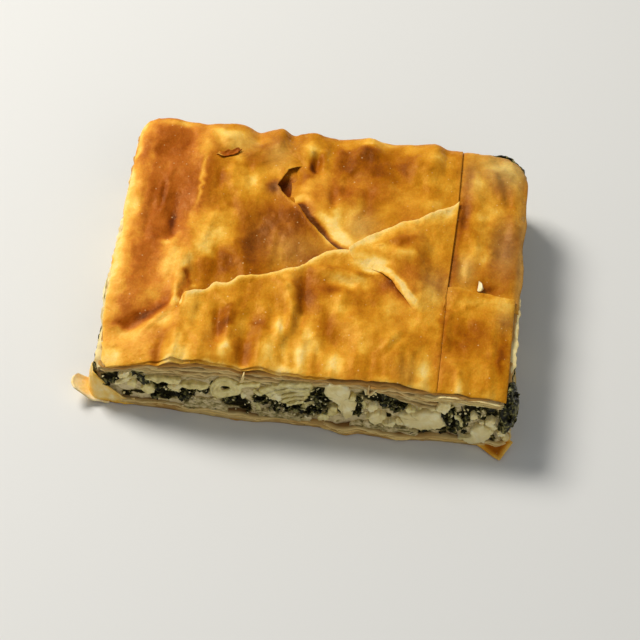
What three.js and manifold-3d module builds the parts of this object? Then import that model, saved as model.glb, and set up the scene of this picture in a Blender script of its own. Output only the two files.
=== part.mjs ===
// One cut piece of spanakopita: a browned top crust of overlapping phyllo leaves, a spinach and feta
// filling that shows on all four cut sides, and a pale bottom crust that rests flat.
// Millimetres, +X along the long cut face, +Y towards the back, +Z up. The origin is the centre of the
// flat face the piece rests on.
import * as THREE from "three";
import { mergeVertices } from "three/addons/utils/BufferGeometryUtils.js";
import Module from "manifold-3d";

const wasm = await Module();
wasm.setup();

// ---- Driving dimensions ----
const LENGTH = 130;
const DEPTH = 108;
const TOP_HEIGHT = 23.4; // the top crust's mean level
const BOTTOM_THICKNESS = 3.6;
const STACK_THICKNESS = 5.6; // pale leaves under the browned ones, at the cut
const FRONT_CORNER_RADIUS = 4;
const BACK_CORNER_RADIUS = 9;
const GAP = 0.3; // between one piece and the next
const LEAF = 0.5; // one browned leaf with the air under it
const LEAF_SINK = 1.3; // how far a leaf's hidden underside reaches into what carries it
const EDGE_ROUNDING = 1.5; // how far the top drops at the cut
const RIGHT_SHRINK = 2.3; // how far the top leaves drew back at the front right
const SIDE_FLARE = 2.2; // how much further out the left and right sides lie at the bottom
const END_FLARE = 0.9; // the same for the front and back
const FILLING_FROM = 0.28; // where the filling starts and ends, as shares of the way down
const FILLING_TO = 0.84;
const CUT_COLUMNS = 40; // the cut's points along each long side, the same on both crusts and the filling
const CUT_ROWS = 32;

const HALF_LENGTH = LENGTH / 2;
const HALF_DEPTH = DEPTH / 2;

// ---- Where the top leaves overlap, as [x, y] in plan ----
const JUNCTION = [9, 0.4]; // the point where the four big leaves meet
const SEAM = [[43.4, HALF_DEPTH], [43.6, 28], [42.2, -9], [41.3, -30], [41.6, -HALF_DEPTH]];
const FRONT_LEAF_EDGE = [
  [-HALF_LENGTH, -44.5], [-57, -42], [-50, -38.5], [-45, -32], [-41.6, -25], [-37, -22.8], [-31, -18.8],
  [-26, -17.6], [-17, -12.8], [-7, -7], [1.6, -0.9], JUNCTION, [22, -1], [46, -4],
];
const WEDGE_UPPER_EDGE = [JUNCTION, [18, 10], [24, 14.9], [30, 19.2], [37, 25], [43.7, 28.5]];
const WEDGE_LOWER_EDGE = [JUNCTION, [19.7, -6], [26, -12], [32, -18.5], [37, -27], [41.4, -38]];
const BACK_LEAF_EDGE = [
  [-17, 52], [-14, 41], [-12.4, 34], [-10, 25.5], [-3, 17.6], [2.7, 9.8], [8, 2], [12, 2], [22, 6], [46, 20],
];
const RIGHT_LEAF_EDGE = [[38, -11], [42.2, -11.2], [51, -12], [67, -13]];

// ---- Folds of the top: a ridge, or a furrow with a height below 0, as [x1, y1, x2, y2, width, height] ----
const FOLDS = [
  // the reddish left side sags between its creases
  [-53, 44, -54, -18, 8, -0.8], [-49, 17, -48.5, -1, 2.6, -0.9], [-41, 46, -41, 16, 3.4, 0.6],
  [-60, 40, -61, -10, 4, 0.5], [-43.4, -6, -42.2, -23, 2.2, 1], [-39, -11, -38.4, -20, 2, -1.1],
  // the hollow behind the front leaf
  [-22, 8, -12, -5, 9, -1.8], [-32, 4, -33, -14, 5, -0.5], [-30, 30, -24, 14, 5, 0.8],
  // the front leaf puckers towards the cut
  [-57, -41, -47, -28.5, 3.4, -1.4], [-45.6, -38, -45, -54, 2.1, -1.3], [-41, -28, -41.3, -54, 3, 0.8],
  [-29, -31, -28, -45, 2.2, -0.9], [-24.5, -28, -25, -50, 3, 0.6], [-18.6, -33, -19, -52, 3, -0.9],
  [-12.6, -36, -13, -53, 3, 0.7], [-8.6, -14, -5, -27, 1.7, 0.9], [-5, -27, -8, -42, 1.7, 0.9],
  [-2.8, -12, -1.8, -28, 2.6, -0.9], [-1, -10.6, 13, -11.6, 2.2, 0.6], [1, -16.5, 11, -17, 2.2, -0.5],
  [13, -31, 22, -38, 4.5, 0.8], [8.6, -40, 9, -53, 3, -0.7], [28, -34, 30, -53, 3.5, 0.6],
  // ripples along the back edge
  [-55, 53, -54, 46, 5, 0.8], [-33, 54, -34, 45, 5, 1.2], [-44, 54, -44, 46, 4, -0.5],
  [-25, 54, -25, 47, 3, -0.9],
  [-18, 54, -18, 46, 3.2, 1.1], [-13, 54, -13, 48, 2.4, -0.7], [-7, 54, -7, 45, 3.2, 1.2],
  [2, 54, 1, 46, 3.4, -0.7], [12, 54, 12, 47, 3.4, 1], [22, 54, 21, 46, 4, -0.6], [33, 54, 33, 44, 5, 1.3],
  // dents in the back leaf
  [-5, 41, -4.2, 35.5, 1.6, -1.2], [2, 24.5, 2.4, 20, 1.3, -0.8], [8, 34, 7, 27, 2, -0.7],
  [14, 44, 17, 30, 4, 0.7],
  [-35.5, 38.5, -32.5, 40.2, 1.7, -0.9],
  // the wedge and the right-hand strip
  [22, 1, 30, 4, 5, 0.9], [34, 8, 37, -8, 3, -0.6], [49, 36, 48.4, 14, 3.6, 0.8], [57, 15, 58, -2, 3.8, -1],
  [55, -8, 57, -8.5, 2.6, -0.8], [45, -14.6, 63, -15.4, 2.2, 0.6], [47, -25, 47, -37, 3.4, -0.5],
  [60, 46, 54, 40, 4, 0.7],
];

// The slit between the left leaf and the back leaf, and the torn hole at its far end, as outlines in plan.
const SLIT = [
  [-9.4, 21.4], [-6.6, 16.6], [-2.6, 11], [1.6, 6.2], [6.8, 0.9], [7.2, 1.4], [3.6, 6.6], [-0.4, 12.2],
  [-5, 18.4],
];
const SLIT_DEPTH = 1.7;
const TORN_HOLE = [[-17.2, 27.6], [-11, 23.4], [-11.6, 29], [-12.4, 35.4]];
const TORN_HOLE_DEPTH = 1.3;

// The crust's underside along the front cut, as [x, z]. The leaves hang lower between the lumps.
const FRONT_UNDERSIDE = [
  [-65, 10.4], [-58, 13.8], [-52, 16], [-47, 14.7], [-31, 14.5], [-26, 17.4], [-18, 16], [-10, 14.7],
  [-3, 16], [4, 18], [11, 20.3], [18, 19.5], [24, 19.2], [33, 15.8], [37, 14.6], [43, 14.8], [47, 18],
  [55, 20.3], [60, 18.2], [65, 17],
];

// ---- Small helpers ----
const clamp01 = (t) => Math.min(1, Math.max(0, t));
const mix = (a, b, t) => a + (b - a) * t;

function smooth(from, to, value) {
  const t = clamp01((value - from) / (to - from));
  return t * t * (3 - 2 * t);
}

// A repeatable number from 0 to 1 for each lattice point.
function lattice(i, j, seed) {
  const n = Math.sin(i * 127.1 + j * 311.7 + seed * 74.7) * 43758.5453;
  return n - Math.floor(n);
}

// Smooth noise from -1 to 1, with features about one unit across.
function noise(x, y, seed) {
  const i = Math.floor(x);
  const j = Math.floor(y);
  const u = smooth(0, 1, x - i);
  const v = smooth(0, 1, y - j);
  const near = mix(lattice(i, j, seed), lattice(i + 1, j, seed), u);
  const far = mix(lattice(i, j + 1, seed), lattice(i + 1, j + 1, seed), u);
  return 2 * mix(near, far, v) - 1;
}

function distanceToSegment(x, y, [x1, y1], [x2, y2]) {
  const dx = x2 - x1;
  const dy = y2 - y1;
  const t = clamp01(((x - x1) * dx + (y - y1) * dy) / (dx * dx + dy * dy));
  return Math.hypot(x - x1 - t * dx, y - y1 - t * dy);
}

function distanceToLine(x, y, points) {
  let nearest = Infinity;
  for (let i = 1; i < points.length; i++) {
    nearest = Math.min(nearest, distanceToSegment(x, y, points[i - 1], points[i]));
  }
  return nearest;
}

// The point at share t of a line's length.
function along(points, t) {
  const lengths = points.slice(1).map((p, i) => Math.hypot(p[0] - points[i][0], p[1] - points[i][1]));
  let rest = clamp01(t) * lengths.reduce((a, b) => a + b, 0);
  for (let i = 0; i < lengths.length; i++) {
    if (rest <= lengths[i] || i === lengths.length - 1) {
      const s = clamp01(rest / lengths[i]);
      return [mix(points[i][0], points[i + 1][0], s), mix(points[i][1], points[i + 1][1], s)];
    }
    rest -= lengths[i];
  }
  return points[points.length - 1];
}

// A line read as a graph: its value at a place between its points, by the given column.
function graph(points, at, from = 0, to = 1) {
  const rising = points[0][from] < points[points.length - 1][from];
  const list = rising ? points : [...points].reverse();
  const last = list.length - 1;
  if (at <= list[0][from]) return list[0][to];
  if (at >= list[last][from]) return list[last][to];
  const i = list.findIndex((p, k) => k > 0 && at <= p[from]);
  const t = (at - list[i - 1][from]) / (list[i][from] - list[i - 1][from]);
  return mix(list[i - 1][to], list[i][to], t);
}

// ---- The piece's outline in plan ----
// A point of the unit square, (-1..1, -1..1), placed in a rounded rectangle of some half length and half depth.
function plan(u, v, a, b, seed) {
  const reach = Math.max(Math.abs(u), Math.abs(v), 1e-9);
  const edgeX = (u / reach) * a;
  const edgeY = (v / reach) * b;
  const radius = v > 0 ? BACK_CORNER_RADIUS : FRONT_CORNER_RADIUS;
  const cornerX = Math.sign(u) * (a - radius);
  const cornerY = Math.sign(v) * (b - radius);
  let x = edgeX;
  let y = edgeY;
  if (Math.abs(edgeX) > a - radius && Math.abs(edgeY) > b - radius) {
    const d = Math.hypot(edgeX - cornerX, edgeY - cornerY);
    x = cornerX + (radius * (edgeX - cornerX)) / d;
    y = cornerY + (radius * (edgeY - cornerY)) / d;
  }
  const waver = 0.8 * noise(x / 11, y / 11, seed) + 0.4 * noise(x / 4.5, y / 4.5, seed + 7);
  const pull = reach ** 6;
  const push = 1 + (pull * waver) / Math.hypot(a, b);
  return [(u * a + pull * (x - edgeX)) * push, (v * b + pull * (y - edgeY)) * push];
}

// The outline of the cut at a share of the way down from the top. The sides lean out a little.
function cutPlan(u, v, down) {
  return plan(u, v, HALF_LENGTH - 0.9 + SIDE_FLARE * down, HALF_DEPTH - 0.9 + END_FLARE * down, 3);
}

// ---- Heights ----
// The front left corner is pressed down, and the other corners sink a little.
function sag(x, y) {
  const frontLeft = 7.6 * smooth(-30, -66, x) * smooth(-22, -56, y);
  const frontRight = 2.6 * smooth(54, 66, x) * smooth(-44, -56, y);
  const backLeft = 1.6 * smooth(-52, -66, x) * smooth(40, 55, y);
  return frontLeft + frontRight + backLeft;
}

function distanceInside(x, y) {
  return Math.max(0, Math.min(HALF_LENGTH - Math.abs(x), HALF_DEPTH - Math.abs(y)));
}


// The level of the lowest browned leaf, which shows on the right-hand strip.
function crustLevel(x, y) {
  let z = TOP_HEIGHT + 0.9 * smooth(0, 30, x) - sag(x, y);
  for (const [x1, y1, x2, y2, width, height] of FOLDS) {
    const d = distanceToSegment(x, y, [x1, y1], [x2, y2]) / width;
    z += height * Math.exp(-d * d);
  }
  z += 0.5 * noise(x / 10, y / 10, 11);
  return z - EDGE_ROUNDING * Math.exp(-distanceInside(x, y) / 2.4);
}

// Heights of the big leaves, each above the one it covers.
const seamAt = (y) => graph(SEAM, y, 1, 0);
const seamLip = (x, y) => 0.5 * Math.exp(-Math.max(0, seamAt(y) - x) / 3);
const leftLeafLevel = (x, y) => crustLevel(x, y) + LEAF + seamLip(x, y);

function frontLeafLevel(x, y) {
  const puff = 1.5 * smooth(-44, -36, x) * Math.exp(-distanceToLine(x, y, FRONT_LEAF_EDGE) / 16);
  return crustLevel(x, y) + 2 * LEAF + puff + seamLip(x, y);
}

function backLeafLevel(x, y) {
  const rise = smooth(0, 6, distanceToLine(x, y, BACK_LEAF_EDGE));
  const fade = Math.exp(-Math.max(0, y - 24) / 10) * smooth(-16, -8, x);
  return crustLevel(x, y) + LEAF - 0.9 + rise * (1.1 + 1.2 * fade);
}

function wedgeLevel(x, y) {
  const fade = smooth(-30, -15, y);
  const edge = Math.min(distanceToLine(x, y, WEDGE_UPPER_EDGE), distanceToLine(x, y, WEDGE_LOWER_EDGE));
  return crustLevel(x, y) + 3 * LEAF + fade * (0.6 + 0.7 * Math.exp(-edge / 3)) + seamLip(x, y);
}

const rightLeafLip = (x, y) => 0.5 * Math.exp(-Math.max(0, graph(RIGHT_LEAF_EDGE, x) - y) / 3);
const rightLeafLevel = (x, y) => crustLevel(x, y) + LEAF + rightLeafLip(x, y);

// The crust's underside follows the sag, eased, and the filling lies between it and the flat bottom crust.
function stackUnderside(x, y) {
  const level = TOP_HEIGHT - STACK_THICKNESS - 0.72 * sag(x, y) + 0.9 * noise(x / 13, y / 13, 12);
  return mix(level, graph(FRONT_UNDERSIDE, x), smooth(-44, -53, y));
}

const fillingTop = (x, y) => stackUnderside(x, y) - GAP;
const fillingUnderside = () => BOTTOM_THICKNESS + GAP;

// ---- Meshes ----
function solidOf(positions, triangles) {
  const geometry = new THREE.BufferGeometry();
  geometry.setAttribute("position", new THREE.Float32BufferAttribute(positions, 3));
  geometry.setIndex(triangles);
  const merged = mergeVertices(geometry, 1e-4);
  const kept = [];
  const index = merged.index.array;
  for (let i = 0; i < index.length; i += 3) {
    const [a, b, c] = [index[i], index[i + 1], index[i + 2]];
    if (a !== b && b !== c && c !== a) kept.push(a, b, c);
  }
  return new wasm.Manifold(
    new wasm.Mesh({
      numProp: 3,
      vertProperties: new Float32Array(merged.attributes.position.array),
      triVerts: new Uint32Array(kept),
    }),
  );
}

// The grid's border as indices, anticlockwise seen from above.
function borderOf(columns, rows) {
  const at = (i, j) => j * (columns + 1) + i;
  const ring = [];
  for (let i = 0; i < columns; i++) ring.push(at(i, 0));
  for (let j = 0; j < rows; j++) ring.push(at(columns, j));
  for (let i = columns; i > 0; i--) ring.push(at(i, rows));
  for (let j = rows; j > 0; j--) ring.push(at(0, j));
  return ring;
}

// Fills a ring with a sparse cap: an inner ring with a quarter of its points, and a flat fill inside that.
function addCap(positions, triangles, ring, level, facingUp) {
  const put = (a, b, c) => triangles.push(...(facingUp ? [a, b, c] : [a, c, b]));
  const inner = [];
  for (let k = 0; k < ring.length; k += 4) {
    const x = positions[3 * ring[k]] * 0.86;
    const y = positions[3 * ring[k] + 1] * 0.86;
    inner.push(positions.length / 3);
    positions.push(x, y, level(x, y));
  }
  inner.forEach((here, k) => {
    const next = inner[(k + 1) % inner.length];
    for (let s = 0; s < 4; s++) {
      const a = ring[4 * k + s];
      const b = ring[(4 * k + s + 1) % ring.length];
      put(a, b, s < 2 ? here : next);
      if (s === 1) put(b, next, here);
    }
  });
  const outline = inner.map((i) => new THREE.Vector2(positions[3 * i], positions[3 * i + 1]));
  for (const [a, b, c] of THREE.ShapeUtils.triangulateShape(outline, [])) put(inner[a], inner[b], inner[c]);
}

// A closed slab. Its top is a grid, its wall has the given rings, and its underside is a grid or a cap.
// place(u, v, share) gives a point's [x, y] at a share of the way down the wall, from 0 to 1. Each ring is
// { share, out }, where out is how far the wall's points stand out there.
function slab({ columns, rows, place, top, under, rings = [], sparseTop = false, sparseUnder = true }) {
  const positions = [];
  const triangles = [];
  const unit = [];
  for (let j = 0; j <= rows; j++) {
    for (let i = 0; i <= columns; i++) {
      const [u, v] = [(2 * i) / columns - 1, (2 * j) / rows - 1];
      const [x, y] = place(u, v, 0);
      unit.push([u, v]);
      positions.push(x, y, top(x, y));
    }
  }
  const border = borderOf(columns, rows);
  const count = border.length;
  const addGrid = (start, facingUp) => {
    for (let j = 0; j < rows; j++) {
      for (let i = 0; i < columns; i++) {
        const a = start + j * (columns + 1) + i;
        const [b, c, d] = [a + 1, a + columns + 2, a + columns + 1];
        if (facingUp) triangles.push(a, b, c, a, c, d);
        else triangles.push(a, c, b, a, d, c);
      }
    }
  };
  if (sparseTop) addCap(positions, triangles, border, top, true);
  else addGrid(0, true);

  let upper = border;
  for (const { share, out } of [...rings, { share: 1, out: () => 0 }]) {
    let lower;
    if (share === 1 && !sparseUnder) {
      const start = positions.length / 3;
      for (const [u, v] of unit) {
        const [x, y] = place(u, v, 1);
        positions.push(x, y, under(x, y));
      }
      lower = border.map((i) => start + i);
      addGrid(start, false);
    } else {
      const spots = border.map((i) => place(...unit[i], share));
      lower = spots.map(([x, y], k) => {
        const before = spots[(k + count - 1) % count];
        const after = spots[(k + 1) % count];
        const push = out(x, y) / (Math.hypot(after[0] - before[0], after[1] - before[1]) || 1);
        const z = mix(positions[3 * border[k] + 2], under(x, y), share);
        positions.push(x + push * (after[1] - before[1]), y - push * (after[0] - before[0]), z);
        return positions.length / 3 - 1;
      });
    }
    for (let k = 0; k < count; k++) {
      const n = (k + 1) % count;
      triangles.push(upper[k], lower[k], lower[n], upper[k], lower[n], upper[n]);
    }
    upper = lower;
  }
  if (sparseUnder) addCap(positions, triangles, upper, under, false);
  return solidOf(positions, triangles);
}

const unite = (solids) => solids.reduce((joined, next) => joined.add(next));

// The largest body of a solid, without the loose scraps that a cut can leave.
function largest(solid) {
  return solid.decompose().sort((a, b) => b.volume() - a.volume())[0];
}

function meshOf(name, color, roughness, solid) {
  const { vertProperties, triVerts } = solid.getMesh();
  const geometry = new THREE.BufferGeometry();
  geometry.setAttribute("position", new THREE.BufferAttribute(vertProperties, 3));
  geometry.setIndex(new THREE.BufferAttribute(triVerts, 1));
  const mesh = new THREE.Mesh(geometry, new THREE.MeshStandardMaterial({ color, roughness, metalness: 0 }));
  mesh.name = name;
  return mesh;
}

// ---- Top crust ----
// A ring of the crust's cut wall: leaf edges that stand out and draw in by turns, wavering along the cut.
const leafRing = (share, reach, seed) => ({
  share,
  out: (x, y) => reach + 0.5 * noise((x + y) / 5, (x - y) / 5, seed),
});

function crustStack() {
  return slab({
    columns: CUT_COLUMNS,
    rows: CUT_ROWS,
    place: (u, v, share) => {
      const [x, y] = cutPlan(u, v, share * FILLING_FROM);
      return [x - (1 - share) * RIGHT_SHRINK * smooth(50, 64, x) * smooth(-8, -24, y), y];
    },
    top: crustLevel,
    under: stackUnderside,
    rings: [
      leafRing(0.2, 0.9, 21), leafRing(0.36, 0.1, 22), leafRing(0.56, 1.2, 23), leafRing(0.78, 0.5, 24),
    ],
  });
}

// A browned leaf between two lines in plan, with its underside sunk into what carries it.
function browned(columns, rows, nearSide, farSide, level) {
  return slab({
    columns,
    rows,
    place: (u, v) => {
      const t = (u + 1) / 2;
      const [x1, y1] = nearSide(t);
      const [x2, y2] = farSide(t);
      return [mix(x1, x2, (v + 1) / 2), mix(y1, y2, (v + 1) / 2)];
    },
    top: level,
    under: (x, y) => crustLevel(x, y) - LEAF_SINK,
    sparseUnder: false,
  });
}

const frontCut = (x) => -HALF_DEPTH + 1.4 + 0.5 * noise(x / 8, 0.5, 31);
const backCut = (x) => HALF_DEPTH - 0.5 + 0.5 * noise(x / 8, 0.5, 32);

function leftLeaf() {
  return slab({
    columns: 28,
    rows: 28,
    place: (u, v) => {
      const across = mix(-1, seamAt(v * HALF_DEPTH) / HALF_LENGTH, (u + 1) / 2);
      return plan(across, v, HALF_LENGTH - 0.6, HALF_DEPTH - 0.6, 5);
    },
    top: leftLeafLevel,
    under: (x, y) => crustLevel(x, y) - LEAF_SINK,
    sparseUnder: false,
  });
}

function frontLeaf() {
  return browned(36, 12, (t) => {
    const x = mix(-HALF_LENGTH + 3, seamAt(-HALF_DEPTH) - 0.3, t);
    return [x, frontCut(x) - 0.2];
  }, (t) => along(FRONT_LEAF_EDGE.slice(0, -1).concat([[seamAt(-1) - 0.3, -1]]), t), frontLeafLevel);
}

function backLeaf() {
  const right = seamAt(HALF_DEPTH) - 0.3;
  return browned(20, 14, (t) => {
    const [x, y] = along(BACK_LEAF_EDGE, t);
    return [Math.min(x, seamAt(y) - 0.3), y];
  }, (t) => [mix(-16, right, t), backCut(mix(-16, right, t)) + 0.2], backLeafLevel);
}

function wedgeLeaf() {
  const start = 0.03; // leaves the wedge's point a little blunt
  const lower = (t) => along(WEDGE_LOWER_EDGE, mix(start, 1, t));
  const upper = (t) => along(WEDGE_UPPER_EDGE, mix(start, 1, t));
  return browned(14, 12, lower, upper, wedgeLevel);
}

function rightLeaf() {
  const right = HALF_LENGTH - 2.2;
  return browned(8, 14, (t) => {
    const x = mix(38, right, t);
    return [x, frontCut(x) - 0.1];
  }, (t) => {
    const x = mix(38, right, t);
    return [x, graph(RIGHT_LEAF_EDGE, x)];
  }, rightLeafLevel);
}

// A lump with few sides, for a curd, a crumb or a clump of spinach.
function lump([x, y, z], [rx, ry, rz], seed) {
  const shape = new THREE.IcosahedronGeometry(1, 1);
  shape.deleteAttribute("normal");
  shape.deleteAttribute("uv");
  const ball = mergeVertices(shape, 1e-3);
  const p = ball.attributes.position.array;
  const positions = [];
  for (let i = 0; i < p.length; i += 3) {
    const swell = 1 + 0.22 * noise(p[i] * 1.7 + seed, p[i + 1] * 1.7 + p[i + 2], seed);
    positions.push(x + rx * swell * p[i], y + ry * swell * p[i + 1], z + rz * swell * p[i + 2]);
  }
  return solidOf(positions, Array.from(ball.index.array));
}

// A block that cuts an outline down into the top, as deep as given.
function cutter(outline, depth) {
  const shape = new THREE.Shape(outline.map(([x, y]) => new THREE.Vector2(x, y)));
  const block = new THREE.ExtrudeGeometry(shape, { depth: TOP_HEIGHT, bevelEnabled: false });
  block.translate(0, 0, TOP_HEIGHT - depth);
  const positions = Array.from(block.attributes.position.array);
  return solidOf(positions, positions.slice(0, positions.length / 3).map((_, i) => i));
}

function topCrust() {
  const crumb = [51.6, -7.6];
  const leaves = [leftLeaf(), frontLeaf(), backLeaf(), wedgeLeaf(), rightLeaf()];
  const speck = lump([...crumb, crustLevel(...crumb) + 0.3], [1, 1.1, 0.8], 5);
  const whole = unite([crustStack(), ...leaves, speck]);
  return largest(whole.subtract(cutter(SLIT, SLIT_DEPTH)).subtract(cutter(TORN_HOLE, TORN_HOLE_DEPTH)));
}

// ---- Spinach and feta filling ----
// Lumps that show on the front cut, as [x, z, half width, half height, how far they stand out].
const FRONT_LUMPS = [
  [-59.6, 10.6, 2.6, 2.4, 1], [-50.6, 12, 3, 3.6, 1], [-41, 8, 6.4, 4, 0.5], [-24, 13, 4.8, 4.4, 1],
  [-15.6, 8.6, 6, 3, 0.7], [5.4, 10.8, 4.2, 5.4, 0.5], [13.4, 14, 4, 6.4, 1], [24.4, 9.4, 3.4, 3, 1.1],
  [37.8, 9.2, 7, 4.4, 0.8], [49, 10, 3.6, 3.8, 0.9], [56.4, 7.2, 4, 3.4, 1.2], [55, 16, 4.6, 3, 0.6],
];
const LEFT_CURD = { at: [-65, -20, 13.2], size: [2.8, 6.6, 3.6] };
const CORNER_CLUMP = { at: [63.6, -50, 11.8], size: [4, 6, 6] };

const fillingPlace = (u, v, share) => cutPlan(u, v, mix(FILLING_FROM, FILLING_TO, share));

function fillingCore() {
  const ragged = (share, reach, rough, seed) => ({
    share,
    out: (x, y) => reach + rough * noise((x + y) / 3.4, (x - y) / 3.4, seed),
  });
  return slab({
    columns: CUT_COLUMNS,
    rows: CUT_ROWS,
    place: fillingPlace,
    top: fillingTop,
    under: fillingUnderside,
    rings: [
      ragged(0.08, -0.8, 0.2, 41), ragged(0.3, 0.4, 1.1, 42), ragged(0.56, 0.5, 1.1, 43),
      ragged(0.84, 0.3, 1.1, 44),
    ],
    sparseTop: true,
  });
}

// Lumps along a side with none named, spread evenly along the cut by a draw from a fixed seed.
function sideLumps(count, seed, placeOnSide) {
  return Array.from({ length: count }, (_, k) => {
    const along01 = (k + 0.5 + 0.5 * (lattice(k, 1, seed) - 0.5)) / count;
    const level = mix(7.5, 13.5, lattice(k, 2, seed));
    const wide = mix(2.8, 5, lattice(k, 3, seed));
    const tall = mix(2.2, 3.4, lattice(k, 4, seed));
    return placeOnSide(mix(-1, 1, along01), level, wide, tall, seed + k);
  });
}

function filling() {
  const front = FRONT_LUMPS.map(([x, z, wide, tall, out], k) =>
    lump([x, -HALF_DEPTH + 1.6 - out, z], [wide, 2.2, tall], 60 + k));
  const back = sideLumps(8, 70, (s, z, wide, tall, seed) =>
    lump([s * 56, HALF_DEPTH - 2, z], [wide, 2.4, tall], seed));
  const left = sideLumps(4, 90, (s, z, wide, tall, seed) =>
    lump([-HALF_LENGTH + 1, s * 26 + 20, z], [2.4, wide, tall], seed));
  const right = sideLumps(5, 110, (s, z, wide, tall, seed) =>
    lump([HALF_LENGTH - 1, s * 38 + 10, z], [2.4, wide, tall], seed));
  const curd = lump(LEFT_CURD.at, LEFT_CURD.size, 6);
  const clump = lump(CORNER_CLUMP.at, CORNER_CLUMP.size, 7);
  // The room between the two crusts, GAP clear of each and open at the sides, which trims the lumps.
  const reach = () => 8;
  const space = slab({
    columns: CUT_COLUMNS,
    rows: CUT_ROWS,
    place: fillingPlace,
    top: fillingTop,
    under: fillingUnderside,
    rings: [{ share: 0, out: reach }, { share: 1, out: reach }],
    sparseTop: true,
  });
  return largest(unite([fillingCore(), ...front, ...back, ...left, ...right, curd, clump]).intersect(space));
}

// ---- Bottom crust ----
// Where the bottom leaves' front edge comes forward, as [x, half width, how far].
const FRONT_BULGES = [[-20, 8, 1.8], [15, 9, 2.8], [36, 8, 1.8]];

function bottomCrust() {
  const bulgeAt = (x, [at, wide, out]) => out * Math.exp(-(((x - at) / wide) ** 2));
  const forward = (x) => FRONT_BULGES.reduce((sum, bulge) => sum + bulgeAt(x, bulge), 0);
  const place = (u, v) => {
    const [x, y] = cutPlan(u, v, 1.1);
    return [x, y - forward(x) * smooth(-HALF_DEPTH + 6, -HALF_DEPTH, y)];
  };
  const body = slab({
    columns: CUT_COLUMNS,
    rows: CUT_ROWS,
    place,
    top: () => BOTTOM_THICKNESS,
    under: () => 0,
    rings: [
      { share: 0.3, out: (x, y) => 0.5 + 0.4 * noise(x / 5, y / 5, 51) },
      { share: 0.62, out: (x, y) => 0.1 + 0.4 * noise(x / 5, y / 5, 52) },
      { share: 0.84, out: (x, y) => 0.6 + 0.4 * noise(x / 6, y / 6, 53) },
    ],
    sparseTop: true,
  });
  return largest(unite([body, curledTab(), cornerFlap()]));
}

// A tongue of the bottom leaves that sticks out past the left side and curls up.
const TAB = { y: -52, width: 10, reach: 8, lift: 4.6, thickness: 1.3 };

function curledTab() {
  const root = -HALF_LENGTH + 3;
  const curl = (x) => TAB.lift * smooth(-HALF_LENGTH + 1, -HALF_LENGTH - TAB.reach, x);
  return slab({
    columns: 6,
    rows: 6,
    place: (u, v) => {
      const tip = -HALF_LENGTH - TAB.reach + 2.6 * v * v;
      return [mix(tip, root, (u + 1) / 2), TAB.y + (v * TAB.width * mix(0.7, 1, (u + 1) / 2)) / 2];
    },
    top: (x) => TAB.thickness + curl(x),
    under: curl,
    sparseUnder: false,
  });
}

// The lowest leaf's corner, which pokes out flat at the front right.
const FLAP = { tip: [63.6, -59.6], side: [68, -52.4], thickness: 0.9 };

function cornerFlap() {
  const [tipX, tipY] = FLAP.tip;
  const [sideX, sideY] = FLAP.side;
  return slab({
    columns: 4,
    rows: 4,
    place: (u, v) => {
      const inner = [mix(52, 60, (v + 1) / 2), mix(-54, -46, (v + 1) / 2)];
      const outer = [mix(tipX, sideX, (v + 1) / 2), mix(tipY, sideY, (v + 1) / 2)];
      return [mix(inner[0], outer[0], (u + 1) / 2), mix(inner[1], outer[1], (u + 1) / 2)];
    },
    top: () => FLAP.thickness,
    under: () => 0,
    sparseUnder: false,
  });
}

// ---- The piece ----
const BROWNED_GOLD = "#cf8a35";
const SPINACH_AND_FETA = "#6d7043";
const PALE_PASTRY = "#d9b57c";

const piece = new THREE.Group();
piece.add(meshOf("top_crust", BROWNED_GOLD, 0.5, topCrust()));
piece.add(meshOf("spinach_filling", SPINACH_AND_FETA, 0.6, filling()));
piece.add(meshOf("bottom_crust", PALE_PASTRY, 0.7, bottomCrust()));

export default piece;
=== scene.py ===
"""A cut piece of spanakopita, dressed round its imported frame.

Forms are worked out in millimetres in the frame's own axes and turned to metres when a mesh is made. The
top is six overlapping browned phyllo leaves, each a thin closed sheet. Under them a stack of pale leaves
shows on all four cuts, then the spinach and feta filling, then the bottom leaves.
"""

import math

import bmesh
import bpy
import numpy as np
from mathutils import Matrix, Vector


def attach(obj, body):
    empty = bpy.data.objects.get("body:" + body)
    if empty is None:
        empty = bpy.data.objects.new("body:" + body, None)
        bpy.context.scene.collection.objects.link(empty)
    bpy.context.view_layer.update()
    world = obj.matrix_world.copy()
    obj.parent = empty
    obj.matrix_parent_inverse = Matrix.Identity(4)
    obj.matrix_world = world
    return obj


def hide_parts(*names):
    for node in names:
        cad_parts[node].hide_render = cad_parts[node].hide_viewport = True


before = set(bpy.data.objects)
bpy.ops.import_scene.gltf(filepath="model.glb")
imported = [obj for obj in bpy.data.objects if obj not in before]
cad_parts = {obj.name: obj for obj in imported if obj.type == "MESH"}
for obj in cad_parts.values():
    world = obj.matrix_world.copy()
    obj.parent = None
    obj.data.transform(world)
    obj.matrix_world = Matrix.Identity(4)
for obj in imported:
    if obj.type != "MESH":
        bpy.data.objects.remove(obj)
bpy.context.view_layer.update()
MM = 0.001

# ---- Sizes of the piece, in millimetres ----
LENGTH = 130
DEPTH = 108
TOP_HEIGHT = 23.4
BOTTOM_THICKNESS = 2.5
STACK_THICKNESS = 5.6
FRONT_CORNER_RADIUS = 4
BACK_CORNER_RADIUS = 9
RIGHT_SHRINK = 2.3
SIDE_FLARE = 2.2
END_FLARE = 0.9
CUT_INSET = 0.9  # how far the cut's upper edge lies inside the piece's length and depth
EDGE_ROUNDING = 1.5
LEAF_STEP = 0.5  # how far a browned leaf lies above the one it covers
LEAF_THICKNESS = 0.34  # a real leaf is about 0.1 mm, too thin to show
HALF_LENGTH = LENGTH / 2
HALF_DEPTH = DEPTH / 2
FILLING_FROM = 0.28
FILLING_TO = 0.84
CUT_PLACES = 620  # places round the cut at which a band or wall is drawn

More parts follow.
